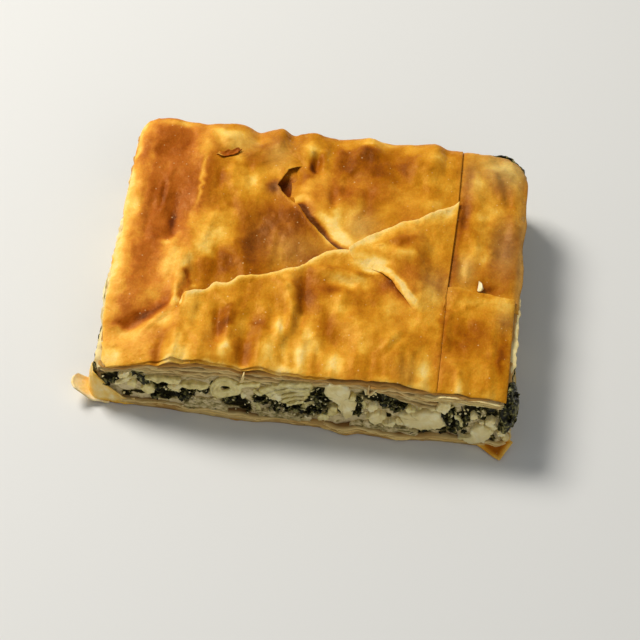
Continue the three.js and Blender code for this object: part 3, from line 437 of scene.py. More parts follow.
# ---- Browning of the top with painted highlights and shade, from 0 for pale to 1 for dark brown ----
# Soft patches as (x, y, half width, half depth, turn in degrees, level). Small ones lie over large ones.
# Besides the leaves' own colour, the levels paint highlights on ridges and edges that face the light, and
# shade in hollows and on slopes turned from it.
BROWNING_LIGHT_AND_SHADE = [
    # the reddish left side, its golden edge a painted highlight where it faces the light, and the dark
    # crescent by the front leaf's fold partly painted shade
    (-62.6, 30, 1.8, 24, 0, 0.32), (-62.6, 35, 1.5, 5, 0, 0.52), (-62.6, -8, 1.8, 20, 0, 0.26),
    (-64.6, 4, 1, 56, 0, 0), (-60.4, 34, 1.2, 12, 0, 0.44), (-60.6, -12, 1.2, 12, 0, 0.4),
    (-60.6, 10, 1.6, 6, 0, 0.28), (-53, -54.8, 7, 0.6, 0, 0.3), (-20, -54, 30, 0.8, 0, 0.3),
    (-52, 26, 9, 24, 0, 0.58), (-55, 41, 5, 8, 0, 0.64), (-50, 44, 3, 5, 0, 0.62),
    (-52, 51.4, 7, 1.8, 0, 0.32), (-45, 42, 3.4, 7, 0, 0.46), (-41.8, 40, 1.4, 3.6, 0, 0.34),
    (-53, 30, 6, 4, 0, 0.54), (-47, 20, 3.6, 8, 0, 0.6), (-56, 19, 4, 7, 0, 0.6),
    (-53.2, 17, 1.1, 5, 0, 0.7), (-49, 6, 1.3, 6, 0, 0.82), (-55, 6, 4, 7, 0, 0.56),
    (-44.2, 22, 1.8, 14, 0, 0.6), (-41.8, 28, 0.6, 14, 0, 0.34), (-40, 27, 1.6, 10, 0, 0.6),
    (-53.6, -1, 2.6, 4, 0, 0.62), (-58.6, -2, 2, 4, 0, 0.42), (-50.8, 0.6, 1.2, 3, 0, 0.62),
    (-48.8, -3.4, 1.6, 0.9, 0, 0.3), (-55.6, -12, 3.2, 8, 0, 0.56), (-54.6, -23, 3.2, 5, 0, 0.51),
    (-57.4, -30, 4, 2.8, 30, 0.5), (-51.6, -26.4, 4, 2, 35, 0.42), (-47.4, -30.2, 1.6, 3.8, -28, 0.7),
    (-51.8, -35, 3.8, 1.8, 44, 0.77), (-57.6, -37.4, 3.2, 1.5, 18, 0.66), (-46.6, -12, 2.6, 10, 0, 0.3),
    (-41.8, -14, 1.6, 4, 0, 0.26), (-42.6, 7, 1.4, 4, 0, 0.4), (-44.2, -19, 0.9, 4, 0, 0.32),
    (-40.7, -20, 0.7, 2.6, 0, 0.7), (-38.2, -21.6, 1.2, 0.9, 0, 0.3), (-43.4, -28, 0.8, 3.4, 0, 0.24),
    (-38.8, -30, 1.4, 3.4, 0, 0.38), (-41.1, -29, 0.4, 2.4, 0, 0.7), (-46, -38, 4.6, 2.4, 42, 0.26),
    (-53, -41.4, 4.4, 2.2, 25, 0.32), (-59, -41.6, 2.6, 1.8, 0, 0.36), (-62, -37, 1.6, 5, 0, 0.34),
    (-57, -46, 5, 3, 0, 0.38), (-60.5, -50, 3.4, 4.5, 0, 0.16), (-42.4, -54, 1.6, 2, 0, 0.2),
    (-50, -47.4, 3.4, 3.4, 0, 0.38), (-45.4, -50, 1.5, 5, 0, 0.6), (-40.6, -50, 1.8, 5, 0, 0.24),
    (-37.6, -52.4, 2, 2.4, 0, 0.26),
    # behind the torn flake
    (-36, 48, 5, 3, 0, 0.26), (-33.4, 44, 2.6, 2, 0, 0.34), (-27, 47, 4, 3.4, 0, 0.34),
    (-23.6, 44.6, 2.2, 2.6, 0, 0.52), (-18, 50.6, 3, 1.8, 0, 0.5), (-13.6, 38, 1.6, 2.4, 0, 0.38),
    (-17, 43, 3.6, 4, 0, 0.44), (-26, 37, 3.6, 3, 0, 0.56), (-30.4, 36.6, 1.8, 2, 0, 0.32),
    (-24, 31, 4, 3.4, 0, 0.4), (-19, 34, 2.6, 3, 0, 0.36), (-17.6, 25, 2.2, 3, 0, 0.66),
    (-30, 27, 4.6, 5, 0, 0.42), (-36, 27, 1.6, 3.6, 0, 0.62), (-22, 24, 4, 3, 0, 0.4),
    (-24.6, 27, 1.6, 3, 0, 0.3),
    # the hollow behind the front leaf, darker for its own colour and for painted shade where it slopes away
    # from the light
    (-28, 16, 6, 2.6, 0, 0.52), (-17, 15, 7, 3.4, -20, 0.68), (-34, 12, 4.6, 4, 0, 0.4),
    (-34, 3, 5, 5, 0, 0.28), (-37, -3, 3, 5, 0, 0.28), (-29.6, -8, 3.6, 5.2, 0, 0.64),
    (-34.6, -13, 3, 3, 0, 0.6), (-22, -3, 3.4, 8, 8, 0.72), (-24, 9, 3, 4, 0, 0.64),
    (-17, 4, 5, 8, 0, 0.7), (-13, -3, 3.4, 5, 0, 0.46), (-8, 0, 4, 4, 0, 0.54), (-10, 9, 5, 5, 0, 0.64),
    (-5.6, 10.6, 2, 5.4, 40, 0.64), (-10, 15, 2.6, 3, 30, 0.7), (-9.4, 21.4, 1.6, 1.6, 0, 0.42),
    (-14.6, 2, 0.9, 4, 0, 0.58), (-2, -1.6, 3, 2, 30, 0.6),
    # the back leaf
    (-9, 40, 2, 5, 0, 0.46), (-5.2, 37.6, 1.2, 3.4, 0, 0.76), (-6.6, 44.6, 1.8, 2.6, 0, 0.32),
    (-2, 43, 1.8, 4, 0, 0.42), (-3, 31, 3.6, 4, 0, 0.42), (-6.6, 26, 2.4, 2.6, 0, 0.34),
    (-7.2, 31.6, 1.8, 2, 0, 0.56), (-3.4, 40.4, 0.9, 2.6, 0, 0.62), (1, 50.6, 4, 1.8, 0, 0.44),
    (5, 48.4, 2.2, 1.6, 0, 0.4), (5, 38, 3.2, 8, 0, 0.66), (12, 44, 3.6, 5, 0, 0.68),
    (12, 50.6, 4, 1.8, 0, 0.3), (14, 53.4, 7, 1.2, 0, 0.32), (18.6, 47.4, 4, 3, 0, 0.5),
    (9, 30, 3.4, 4, 0, 0.48), (14, 22, 2, 6, 0, 0.58), (9, 15, 1.5, 4, -20, 0.34),
    (2, 23.6, 1.4, 3, 0, 0.6), (6.6, 24, 1.8, 4, 0, 0.56), (4.8, 14, 1.6, 3.4, 0, 0.28),
    (4.4, 31, 1.2, 2, 0, 0.42), (20, 34, 3.6, 6, 0, 0.52), (24.6, 42, 3.4, 4, 0, 0.58),
    (27, 50.6, 3, 2.4, 0, 0.36), (34.4, 46, 3, 3.4, 0, 0.36), (33.6, 36, 4.4, 4, 0, 0.42),
    (16.4, 38, 2.2, 4, 0, 0.62), (39.6, 45, 1.8, 6, 0, 0.42), (45.8, 38, 1.3, 6, 0, 0.56),
    (40, 34.6, 2.6, 3, 0, 0.38), (27, 27, 5, 3, 0, 0.42), (20, 20, 3.6, 3, 0, 0.46),
    (35, 26, 4, 2, 35, 0.36), (4.4, 6, 2.2, 4.4, 34, 0.12), (-0.4, 15, 1.5, 5, 38, 0.46),
    (-4, 19, 1.8, 3, 30, 0.64), (11, 9, 2.4, 4, 0, 0.4), (15, 14, 2.6, 3, 0, 0.44),
    # the wedge
    (15.4, -5.6, 3.2, 1.5, -20, 0.12), (20.4, -7.2, 2.8, 1.2, -30, 0.16), (18.4, -4.4, 2.8, 1.5, 0, 0.1),
    (28.4, -16, 5, 0.9, -54, 0.2), (31, -22, 3, 1.6, -54, 0.4), (12.6, -12, 2.6, 1.4, 0, 0.34),
    (28.6, -11, 1.6, 2.4, 0, 0.5), (31.6, -13, 1.6, 2.4, 0, 0.46), (27, -1, 3, 1.6, 0, 0.34),
    (31.6, -7, 3.6, 5, 0, 0.58), (34.6, -2, 1.4, 5, 0, 0.54), (37.4, -15, 3, 4, 0, 0.34),
    (34, -20, 2, 3, 0, 0.36), (39.4, -8, 1.8, 4, 0, 0.54), (20, 1, 3.4, 2.4, 0, 0.34),
    (14.6, 4.4, 2.4, 1.4, 40, 0.24), (26.4, 5, 4.4, 2.2, 20, 0.66), (37, 6, 3.2, 5, 0, 0.38),
    (39.6, 17, 2.4, 5, 0, 0.44), (31, 12, 4, 1.8, 35, 0.44), (40.6, 22, 1.4, 3, 0, 0.3),
    # the front leaf
    (-37, -32, 3.4, 5.6, 0, 0.36), (-38.6, -42, 1.8, 4, 0, 0.36), (-34, -43, 2.4, 5, 0, 0.37),
    (-27, -29.6, 3.4, 4, 0, 0.44), (-22, -27.6, 3, 2.4, 0, 0.5), (-27.8, -36, 1.6, 4, 0, 0.64),
    (-30.6, -40, 1.3, 3.6, 0, 0.42), (-25.6, -33, 1.6, 3, 0, 0.56), (-33, -50.6, 3, 2.6, 0, 0.38),
    (-24.8, -40, 1.5, 5, 0, 0.46), (-26.2, -37, 1.5, 4, 0, 0.7), (-25.6, -48, 1.8, 3, 0, 0.24),
    (-19, -46, 3.2, 5, 0, 0.62), (-21, -37, 2, 4, 0, 0.42), (-21, -20.6, 5, 2, 18, 0.54),
    (-16, -35.6, 2.2, 2.6, 0, 0.6), (-14.4, -23, 3, 4, 0, 0.46), (-16, -28.6, 2.6, 2.6, 0, 0.44),
    (-12, -47, 2.4, 5, 0, 0.32), (-13, -52, 2.4, 1.5, 0, 0.36), (-9.6, -37, 1.4, 3.6, 0, 0.22),
    (-7.6, -24, 0.9, 6, 12, 0.4), (-2.6, -18, 2.4, 9, 4, 0.66), (2, -10, 3, 6, 0, 0.58),
    (-4, -35, 1.8, 5, 0, 0.42), (0.6, -40, 1.4, 6, 0, 0.26), (-6.4, -46, 1.6, 4, 0, 0.36),
    (-7, -52.6, 4, 1.4, 0, 0.26), (3, -42, 2, 4, 0, 0.34), (-1.4, -47.6, 2, 4.6, 0, 0.26),
    (-10, -15, 3.4, 1.8, 25, 0.42), (-1.6, -10, 2.4, 2.6, 0, 0.46), (-2.4, -14.6, 1.4, 3, 0, 0.58),
    (4, -6.4, 4, 2, 0, 0.44), (9, -13, 7, 1.6, -4, 0.3), (4.6, -17, 3, 2.6, 0, 0.62),
    (15, -10, 3, 2, 0, 0.56), (8, -24, 2.6, 5, 0, 0.38), (5.6, -35, 2.4, 6, 0, 0.58),
    (15.4, -34, 4, 4, 0, 0.38), (12.8, -28, 2, 3, 0, 0.48), (16, -22, 3.6, 4, 0, 0.52),
    (24.6, -23, 3, 4, 0, 0.38), (21.4, -15, 3, 2.6, 0, 0.56), (26.4, -36, 2.2, 4, 0, 0.4),
    (21, -46, 4.4, 2.8, 0, 0.5), (17, -40.4, 1.6, 3, 0, 0.34), (8.6, -48, 3, 4, 0, 0.28),
    (12, -41, 2.6, 2, 0, 0.42), (31, -46, 2.2, 3.4, 0, 0.48), (30, -53.4, 9, 1.2, 0, 0.32),
    (37, -48, 2.8, 4.6, 0, 0.3), (38.4, -35, 2.4, 3.6, 0, 0.45), (37.6, -26, 2.8, 3, 0, 0.4),
    (32.6, -27, 2.4, 4, 0, 0.36),
    # the right-hand strip
    (46, 22, 1.5, 10, 0, 0.66), (51.8, 22.8, 1.8, 2, 0, 0.3), (49, 36, 2.4, 5, 0, 0.32),
    (50, 46.6, 3, 4, 0, 0.42), (46, 50, 1.6, 3, 0, 0.46), (57, 47.6, 4.6, 3.6, 0, 0.34),
    (57.6, 36, 2.2, 4, 20, 0.6), (61.6, 21, 2.4, 12, 0, 0.6), (51, 17, 3.4, 5, 0, 0.42),
    (59, 11, 2.6, 5, 0, 0.6), (49.6, 5.6, 2, 3.4, 0, 0.32), (57, 1.6, 3, 2.4, 0, 0.54),
    (53.4, 3, 1.6, 2.6, 0, 0.34), (45.6, 5, 1.2, 5, 0, 0.4), (47.6, -1.6, 1, 4, 0, 0.34),
    (44, -3, 1.2, 5, 0, 0.62), (55.6, -7.6, 3, 3.2, 0, 0.68), (61, -4, 2.4, 6, 0, 0.58),
    (62.4, 30, 1.8, 8, 0, 0.38), (54, 27, 2.6, 4, 0, 0.4), (47, 12, 1.8, 3, 0, 0.5),
    # the leaf over its front end
    (52, -15.8, 7, 1.7, 0, 0.34), (41.6, -28, 1, 8, 0, 0.58), (61, -17, 2.6, 3, 0, 0.34),
    (50, -20.4, 6, 1.4, 0, 0.42), (50, -29, 5, 4.4, 0, 0.61), (60, -24, 2.2, 3, 0, 0.5),
    (47, -35, 3.6, 3, 0, 0.62), (56.6, -36, 2, 5, 0, 0.5), (60.4, -37, 1.3, 7, 0, 0.68),
    (47.6, -43, 3.4, 2.2, 0, 0.42), (54, -45, 2.6, 3, 0, 0.4), (48, -52, 1.4, 2, 0, 0.26),
    (52.4, -51.6, 1.8, 1.6, 0, 0.4), (59.6, -45, 2, 5, 0, 0.42), (58, -52, 3, 1.5, 0, 0.38),
    (44, -50, 1.3, 4, 0, 0.45),
]
PATCH_HARDNESS = 0.65  # how fast a patch ends at its edge
BROWNING_MEAN = 0.47
BROWNING_CONTRAST = 1.52
PALEST_TOP = 0.13  # the palest that a leaf gets, where a painted highlight lightens its lifted edge


# The leaves' brown together with painted highlights and painted shade, read from the patches.
def browning_and_painted_light(x, y):
    b = np.full(np.shape(x), 0.48)
    shift_x = 0.9 * noise(x / 5, y / 5, 35) + 0.6 * noise(x / 2.1, y / 2.1, 36)
    shift_y = 1.4 * noise(x / 6, y / 6, 37) + 0.9 * noise(x / 2.3, y / 2.3, 38)
    x, y = x + shift_x, y + shift_y
    by_size = sorted(BROWNING_LIGHT_AND_SHADE, key=lambda patch: -patch[2] * patch[3])
    for cx, cy, half_width, half_depth, turn, level in by_size:
        c, s = math.cos(math.radians(turn)), math.sin(math.radians(turn))
        px, py = ((x - cx) * c + (y - cy) * s) / half_width, ((y - cy) * c - (x - cx) * s) / half_depth
        b = mix(b, level, np.exp(-PATCH_HARDNESS * (px * px + py * py)))
    between = smooth(-34, -26, x) * smooth(44, 40, x)
    front, back = between * smooth(-4, -14, y), between * smooth(20, 28, y)
    b = 0.5 + (BROWNING_CONTRAST + 0.38 * (front + back)) * (b - BROWNING_MEAN) + 0.03 * back
    b += 0.05 * noise(x / 4.1, y / 5.2, 31) + 0.03 * noise(x / 1.9, y / 2.6, 32)
    return np.clip(b + 0.025 * noise(x / 0.9, y / 1.4, 34), 0.09, 1)


def ruddiness(x, y):
    """Where the brown is reddish rather than orange: the left side, and patches outside the hollow."""
    near = smooth(-34, -48, x) * (0.35 + 0.65 * smooth(-46, -24, y))
    in_hollow = np.exp(-(((x + 16) / 15) ** 2) - ((y - 6) / 14) ** 2)
    near = near + 0.5 * smooth(0, 1, noise(x / 14, y / 14, 33)) * (1 - in_hollow)
    return np.clip(near, 0, 1) * (1 - painted_sheen_and_shade(x, y))


# Where the top is painted greyer, dimmer and more olive, as a painted sheen and as painted shade on slopes
# turned from the light, as (x, y, half width, half depth, share)
PAINTED_SHEEN_AND_SHADE = [
    (58, 46, 8, 10, 1.0), (60, 10, 4.6, 12, 0.7), (65.4, 8, 2, 26, 0.9), (61, -22, 3, 5, 0.4),
    (-9, 0, 10, 7, 0.34), (-19, 4, 6, 10, 0.16), (38, -11, 4.6, 7, 0.45), (47, -2, 3, 6, 0.6),
    (12, 11, 5, 7, 0.5), (-18, 42, 5, 6, 0.4), (32, -49, 4, 5, 0.2), (-17, 26, 3, 3, 0.4),
    (47, 40, 3, 10, 0.5), (-31, 44, 7, 5, 0.35),
]


def painted_sheen_and_shade(x, y):
    d = np.zeros(np.shape(x))
    for cx, cy, half_width, half_depth, share in PAINTED_SHEEN_AND_SHADE:
        d = np.maximum(d, share * np.exp(-(((x - cx) / half_width) ** 2) - ((y - cy) / half_depth) ** 2))
    return d


# ---- Meshes ----
def in_scene(name, data):
    """A new object with some data, linked to the scene."""
    obj = bpy.data.objects.new(name, data)
    bpy.context.scene.collection.objects.link(obj)
    return obj


def shade(mesh, rounded):
    mesh.polygons.foreach_set("use_smooth", [rounded] * len(mesh.polygons))


def make_object(name, vertices, faces, attributes=None, material=None):
    """A mesh object at the origin from points in millimetres, smooth, with point attributes."""
    mesh = bpy.data.meshes.new(name)
    mesh.from_pydata((np.asarray(vertices, float) * MM).tolist(), [], faces)
    mesh.update()
    for key, values in (attributes or {}).items():
        values = np.asarray(values, np.float32)
        kind = "FLOAT_VECTOR" if values.ndim == 2 else "FLOAT"
        slot = "vector" if values.ndim == 2 else "value"
        mesh.attributes.new(key, kind, "POINT").data.foreach_set(slot, values.ravel())
    shade(mesh, True)
    if material:
        mesh.materials.append(material)
    return in_scene(name, mesh)


def grid_faces(rows, columns, start=0, flip=False):
    a = (np.arange(rows - 1)[:, None] * columns + np.arange(columns - 1)[None]).ravel() + start
    quads = np.stack([a, a + 1, a + columns + 1, a + columns], -1)
    return (quads[:, ::-1] if flip else quads).tolist()


def border_of(rows, columns):
    """Indices round a grid, anticlockwise where columns run right and rows run up."""
    i = np.arange(rows * columns).reshape(rows, columns)
    return np.concatenate([i[0, :-1], i[:-1, -1], i[-1, :0:-1], i[:0:-1, 0]])


RIM_BULGE = 0.3  # how far a sheet's rounded rim stands out at most


def sheet_solid(name, x, y, top, bottom, attributes, material):
    """A thin closed sheet from a grid of points, with a rounded rim."""
    rows, columns = x.shape
    upper = np.stack([x, y, top], -1).reshape(-1, 3)
    lower = np.stack([x, y, bottom], -1).reshape(-1, 3)
    rim = border_of(rows, columns)
    ring = upper[rim, :2]
    thick = (upper[rim, 2] - lower[rim, 2])[:, None]
    bulge = np.minimum(thick * 0.5, RIM_BULGE)
    middle = np.concatenate([ring + outward_of(ring) * bulge, (upper[rim, 2:] + lower[rim, 2:]) / 2], -1)
    n, k = len(upper), len(rim)
    faces = grid_faces(rows, columns) + grid_faces(rows, columns, n, True)
    here, there = np.arange(k), np.roll(np.arange(k), -1)
    faces += np.stack([rim[here], 2 * n + here, 2 * n + there, rim[there]], -1).tolist()
    faces += np.stack([2 * n + here, n + rim[here], n + rim[there], 2 * n + there], -1).tolist()
    full = {
        key: np.concatenate([values.reshape(-1), values.reshape(-1), values.reshape(-1)[rim]])
        for key, values in attributes.items()
    }
    return make_object(name, np.concatenate([upper, lower, middle]), faces, full, material)


def vertical_sheet(name, x, y, z, thickness, attributes, material):
    """A thin closed sheet that stands up: a grid with rows upwards, thickened to both sides in plan."""
    rows, columns = x.shape
    step = np.stack([np.gradient(x, axis=1), np.gradient(y, axis=1)], -1)
    side = np.stack([step[..., 1], -step[..., 0]], -1)
    side /= np.maximum(np.linalg.norm(side, axis=-1, keepdims=True), 1e-9)
    shift = np.concatenate([side, np.zeros((rows, columns, 1))], -1) * thickness / 2
    middle = np.stack([x, y, z], -1)
    points = np.concatenate([(middle + shift).reshape(-1, 3), (middle - shift).reshape(-1, 3)])
    rim, n = border_of(rows, columns), rows * columns
    after = np.roll(rim, -1)
    faces = grid_faces(rows, columns) + grid_faces(rows, columns, n, True)
    faces += np.stack([rim, n + rim, n + after, after], -1).tolist()
    full = {key: np.tile(values.reshape(-1), 2) for key, values in attributes.items()}
    return make_object(name, points, faces, full, material)


def ring_solid(name, sections, attributes, material):
    """A closed band. Its sections are closed outlines, one for each place round the loop."""
    places, corners = sections.shape[:2]
    i, j = np.meshgrid(np.arange(places), np.arange(corners), indexing="ij")
    after, nxt = (i + 1) % places, (j + 1) % corners
    quads = np.stack([i * corners + j, i * corners + nxt, after * corners + nxt, after * corners + j], -1)
    return make_object(name, sections.reshape(-1, 3), quads.reshape(-1, 4).tolist(), attributes, material)


# ---- Materials ----
def colour(code):
    """An sRGB hex colour as opaque linear RGBA."""
    parts = [int(code[i : i + 2], 16) / 255 for i in (1, 3, 5)]
    linear = [c / 12.92 if c <= 0.04045 else ((c + 0.055) / 1.055) ** 2.4 for c in parts]
    return (*linear, 1.0)


def set_inputs(tree, node, inputs):
    """Sets a node's inputs, each to a value, an output of another node, or a node for its first output."""
    for key, value in inputs.items():
        if isinstance(value, bpy.types.Node):
            value = value.outputs[0]
        if isinstance(value, bpy.types.NodeSocket):
            tree.links.new(value, node.inputs[key])
        else:
            node.inputs[key].default_value = value


def add_node(tree, kind, inputs=None, stops=None, **settings):
    """Adds a node with its settings and inputs. Stops make a colour ramp."""
    made = tree.nodes.new(kind)
    for key, value in settings.items():
        setattr(made, key, value)
    set_inputs(tree, made, inputs or {})
    for index, (position, code) in enumerate(stops or []):
        elements = made.color_ramp.elements
        element = elements[index] if index < 2 else elements.new(position)
        element.position = position
        element.color = colour(code)
    return made


def new_material(name):
    material = bpy.data.materials.new(name)
    material.use_nodes = True
    tree = material.node_tree
    shader = tree.nodes["Principled BSDF"]
    place = add_node(tree, "ShaderNodeTexCoord").outputs["Object"]
    return material, tree, shader, place


def millimetres(size):
    """A texture's scale for features of some size, on coordinates in metres."""
    return 1 / (size * MM)


def browned_phyllo():
    """Phyllo brushed with butter and baked: thin, brittle and satin, blistered, golden to reddish brown, with
    painted sheen, shade and glints in its colour.
    """
    material, tree, shader, place = new_material("baked_browned_phyllo")
    brushed, ruddy, sheen_and_shade = [
        add_node(tree, "ShaderNodeAttribute", attribute_name=key).outputs["Fac"]
        for key in ("browning_and_painted_light", "ruddiness", "painted_sheen_and_shade")
    ]
    drawn = add_node(tree, "ShaderNodeVectorMath", {0: place, 1: (1.0, 0.16, 1.0)}, operation="MULTIPLY")
    mottle, fine, grain = [
        add_node(tree, "ShaderNodeTexNoise", {
            "Vector": vector, "Scale": millimetres(size), "Detail": detail, "Roughness": roughness,
        })
        for vector, size, detail, roughness in (
            (place, 3.2, 4.0, 0.6), (place, 0.8, 3.0, 0.65), (drawn, 0.7, 2.0, 0.6),
        )
    ]
    for pattern, share in ((mottle, 0.22), (fine, 0.1), (grain, 0.03)):
        brushed = add_node(tree, "ShaderNodeMath", {0: pattern, 1: share, 2: brushed},
                           operation="MULTIPLY_ADD")
    level = add_node(tree, "ShaderNodeMath", {0: brushed, 1: 0.168}, operation="SUBTRACT")
    golden = add_node(tree, "ShaderNodeValToRGB", {"Fac": level}, stops=[
        (0.0, "#fbe7b4"), (0.95, "#602c00"), (0.08, "#f9d98c"), (0.2, "#f5c65c"), (0.32, "#e7ab38"),
        (0.4, "#d89726"), (0.5, "#c78316"), (0.6, "#b26d0a"), (0.7, "#a25b02"), (0.8, "#884600"),
    ])
    reddish = add_node(tree, "ShaderNodeValToRGB", {"Fac": level}, stops=[
        (0.0, "#fbe7b4"), (0.95, "#5c2400"), (0.08, "#fad98e"), (0.2, "#fbc75c"), (0.37, "#e39e36"),
        (0.5, "#cc7d26"), (0.6, "#b5651c"), (0.68, "#a85912"), (0.78, "#934704"),
    ])
    crust = add_node(tree, "ShaderNodeMix", {0: ruddy, 6: golden, 7: reddish}, data_type="RGBA").outputs[2]
    # Painted sheen and painted shade: where this attribute is high the crust turns less vivid, dimmer and
    # more olive.
    vivid, dim, turned = [
        add_node(tree, "ShaderNodeMapRange", {0: sheen_and_shade, 3: plain, 4: full})
        for plain, full in ((1.0, 0.86), (1.0, 0.8), (0.5, 0.52))
    ]
    crust = add_node(tree, "ShaderNodeHueSaturation", {
        "Color": crust, "Saturation": vivid, "Value": dim, "Hue": turned,
    })
    # Rare pale dots, painted as glints of butter on tiny blisters.
    cells = add_node(tree, "ShaderNodeTexVoronoi", {"Vector": place, "Scale": millimetres(1.4)})
    pick = add_node(tree, "ShaderNodeSeparateColor", {0: cells.outputs["Color"]})
    rare = add_node(tree, "ShaderNodeMath", {0: pick, 1: 0.86}, operation="GREATER_THAN")
    reach = add_node(tree, "ShaderNodeMapRange", {0: pick.outputs[1], 3: 0.1, 4: 0.26})
    dot = add_node(tree, "ShaderNodeMapRange", {
        0: cells.outputs["Distance"], 1: 0.04, 2: reach, 3: 0.6, 4: 0.0,
    })
    painted_glint = add_node(tree, "ShaderNodeMath", {0: rare, 1: dot}, operation="MULTIPLY")
    crust = add_node(tree, "ShaderNodeMix", {0: painted_glint, 6: crust, 7: colour("#f3d79a")},
                     data_type="RGBA").outputs[2]
    rough = add_node(tree, "ShaderNodeMapRange", {0: mottle, 1: 0.3, 2: 0.7, 3: 0.36, 4: 0.54})
    ripple = add_node(tree, "ShaderNodeBump", {"Height": mottle, "Strength": 0.5, "Distance": 0.6 * MM})
    crackle = add_node(tree, "ShaderNodeBump", {
        "Height": fine, "Strength": 0.22, "Distance": 0.25 * MM, "Normal": ripple,
    })
    blister = add_node(tree, "ShaderNodeBump", {
        "Height": brushed, "Strength": 0.3, "Distance": 0.4 * MM, "Normal": crackle,
    })
    set_inputs(tree, shader, {
        "Base Color": crust, "Roughness": rough, "Normal": blister, "IOR": 1.46,
        "Specular IOR Level": 0.24, "Specular Tint": colour("#ffc070"), "Subsurface Weight": 0.1,
        "Subsurface Radius": (1.0, 0.4, 0.1), "Subsurface Scale": 0.8 * MM,
    })
    return material


def pale_phyllo(name, stops, gap_shade_tint):
    """Phyllo that steamed under the top: soft and matte, cream to tan, with painted shade darkening it
    between the leaves.
    """
    material, tree, shader, place = new_material(name)
    share = add_node(tree, "ShaderNodeAttribute", attribute_name="share").outputs["Fac"]
    mottle = add_node(tree, "ShaderNodeTexNoise", {"Vector": place, "Scale": millimetres(4), "Detail": 4.0})
    fine = add_node(tree, "ShaderNodeTexNoise", {"Vector": place, "Scale": millimetres(0.7), "Detail": 2.0})
    shifted = add_node(tree, "ShaderNodeMath", {0: mottle, 1: 0.3, 2: share}, operation="MULTIPLY_ADD")
    level = add_node(tree, "ShaderNodeMath", {0: shifted, 1: 0.15}, operation="SUBTRACT")
    edge = add_node(tree, "ShaderNodeValToRGB", {"Fac": level}, stops=stops).outputs["Color"]
    # Further in from a leaf's edge the colour turns to the tint of the painted shade in the gaps between the
    # leaves.
    rim = add_node(tree, "ShaderNodeAttribute", attribute_name="rim").outputs["Fac"]
    deep = add_node(tree, "ShaderNodeMapRange", {0: rim, 1: 0.35, 2: 0.95, 3: 1.0, 4: 0.0})
    tint = add_node(tree, "ShaderNodeMix", {0: deep, 6: edge, 7: colour(gap_shade_tint)},
                    data_type="RGBA").outputs[2]
    grain = add_node(tree, "ShaderNodeBump", {"Height": fine, "Strength": 0.4, "Distance": 0.2 * MM})
    set_inputs(tree, shader, {
        "Base Color": tint, "Normal": grain, "Roughness": 0.55, "Specular IOR Level": 0.18,
        "Specular Tint": colour("#ffdca0"), "Subsurface Weight": 0.15,
        "Subsurface Radius": (1.0, 0.7, 0.4), "Subsurface Scale": 1.2 * MM,
    })
    return material


def wilted_spinach():
    """Cooked spinach: dark, wet and veined, from green-black to moss green, its palest tones partly painted
    wet highlights.
    """
    material, tree, shader, place = new_material("cooked_wilted_spinach")
    patch = add_node(tree, "ShaderNodeTexNoise", {
        "Vector": place, "Scale": millimetres(1.5), "Detail": 4.0, "Roughness": 0.6,
    })
    vein = add_node(tree, "ShaderNodeTexNoise", {"Vector": place, "Scale": millimetres(0.6), "Detail": 2.0})
    # The palest olive tones stand partly for painted wet highlights on the leaves.
    green = add_node(tree, "ShaderNodeValToRGB", {"Fac": patch}, stops=[
        (0.38, "#080803"), (0.68, "#b0aa72"), (0.45, "#16160a"), (0.51, "#343419"), (0.58, "#6a6638"),
    ])
    bump = add_node(tree, "ShaderNodeBump", {"Height": vein, "Strength": 0.8, "Distance": 0.4 * MM})
    set_inputs(tree, shader, {
        "Base Color": green, "Normal": bump, "Roughness": 0.4, "Specular IOR Level": 0.12,
        "Specular Tint": colour("#f0e8b0"), "Coat Weight": 0.3, "Coat Roughness": 0.12,
        "Coat Tint": colour("#fff8dc"),
    })
    return material


def feta_curd():
    """Baked feta: crumbly, ivory, with fine pits."""
    material, tree, shader, place = new_material("crumbled_feta")
    patch = add_node(tree, "ShaderNodeTexNoise", {"Vector": place, "Scale": millimetres(3), "Detail": 3.0})
    pits = add_node(tree, "ShaderNodeTexNoise", {
        "Vector": place, "Scale": millimetres(0.7), "Detail": 3.0, "Roughness": 0.7,
    })
    ivory = add_node(tree, "ShaderNodeValToRGB", {"Fac": patch}, stops=[
        (0.3, "#e8d48e"), (0.7, "#fdf1c2"), (0.5, "#f5e3a4"),
    ])
    bump = add_node(tree, "ShaderNodeBump", {"Height": pits, "Strength": 0.6, "Distance": 0.3 * MM})
    set_inputs(tree, shader, {
        "Base Color": ivory, "Normal": bump, "Roughness": 0.6, "Subsurface Weight": 0.3,
        "Subsurface Radius": (1.0, 0.85, 0.5), "Subsurface Scale": 1.5 * MM,
    })
    return material


def soft_onion():
    """Sweated onion and leek: translucent yellow green, slick."""
    material, tree, shader, place = new_material("sweated_onion")
    patch = add_node(tree, "ShaderNodeTexNoise", {
        "Vector": place, "Scale": millimetres(2.4), "Detail": 3.0,
    })
    tint = add_node(tree, "ShaderNodeValToRGB", {"Fac": patch}, stops=[
        (0.3, "#c4b26a"), (0.7, "#faecac"), (0.5, "#e6d48c"),
    ])
    set_inputs(tree, shader, {
        "Base Color": tint, "Roughness": 0.35, "Subsurface Weight": 0.4,
        "Subsurface Radius": (1.0, 0.9, 0.4), "Subsurface Scale": 1.5 * MM,
    })
    return material


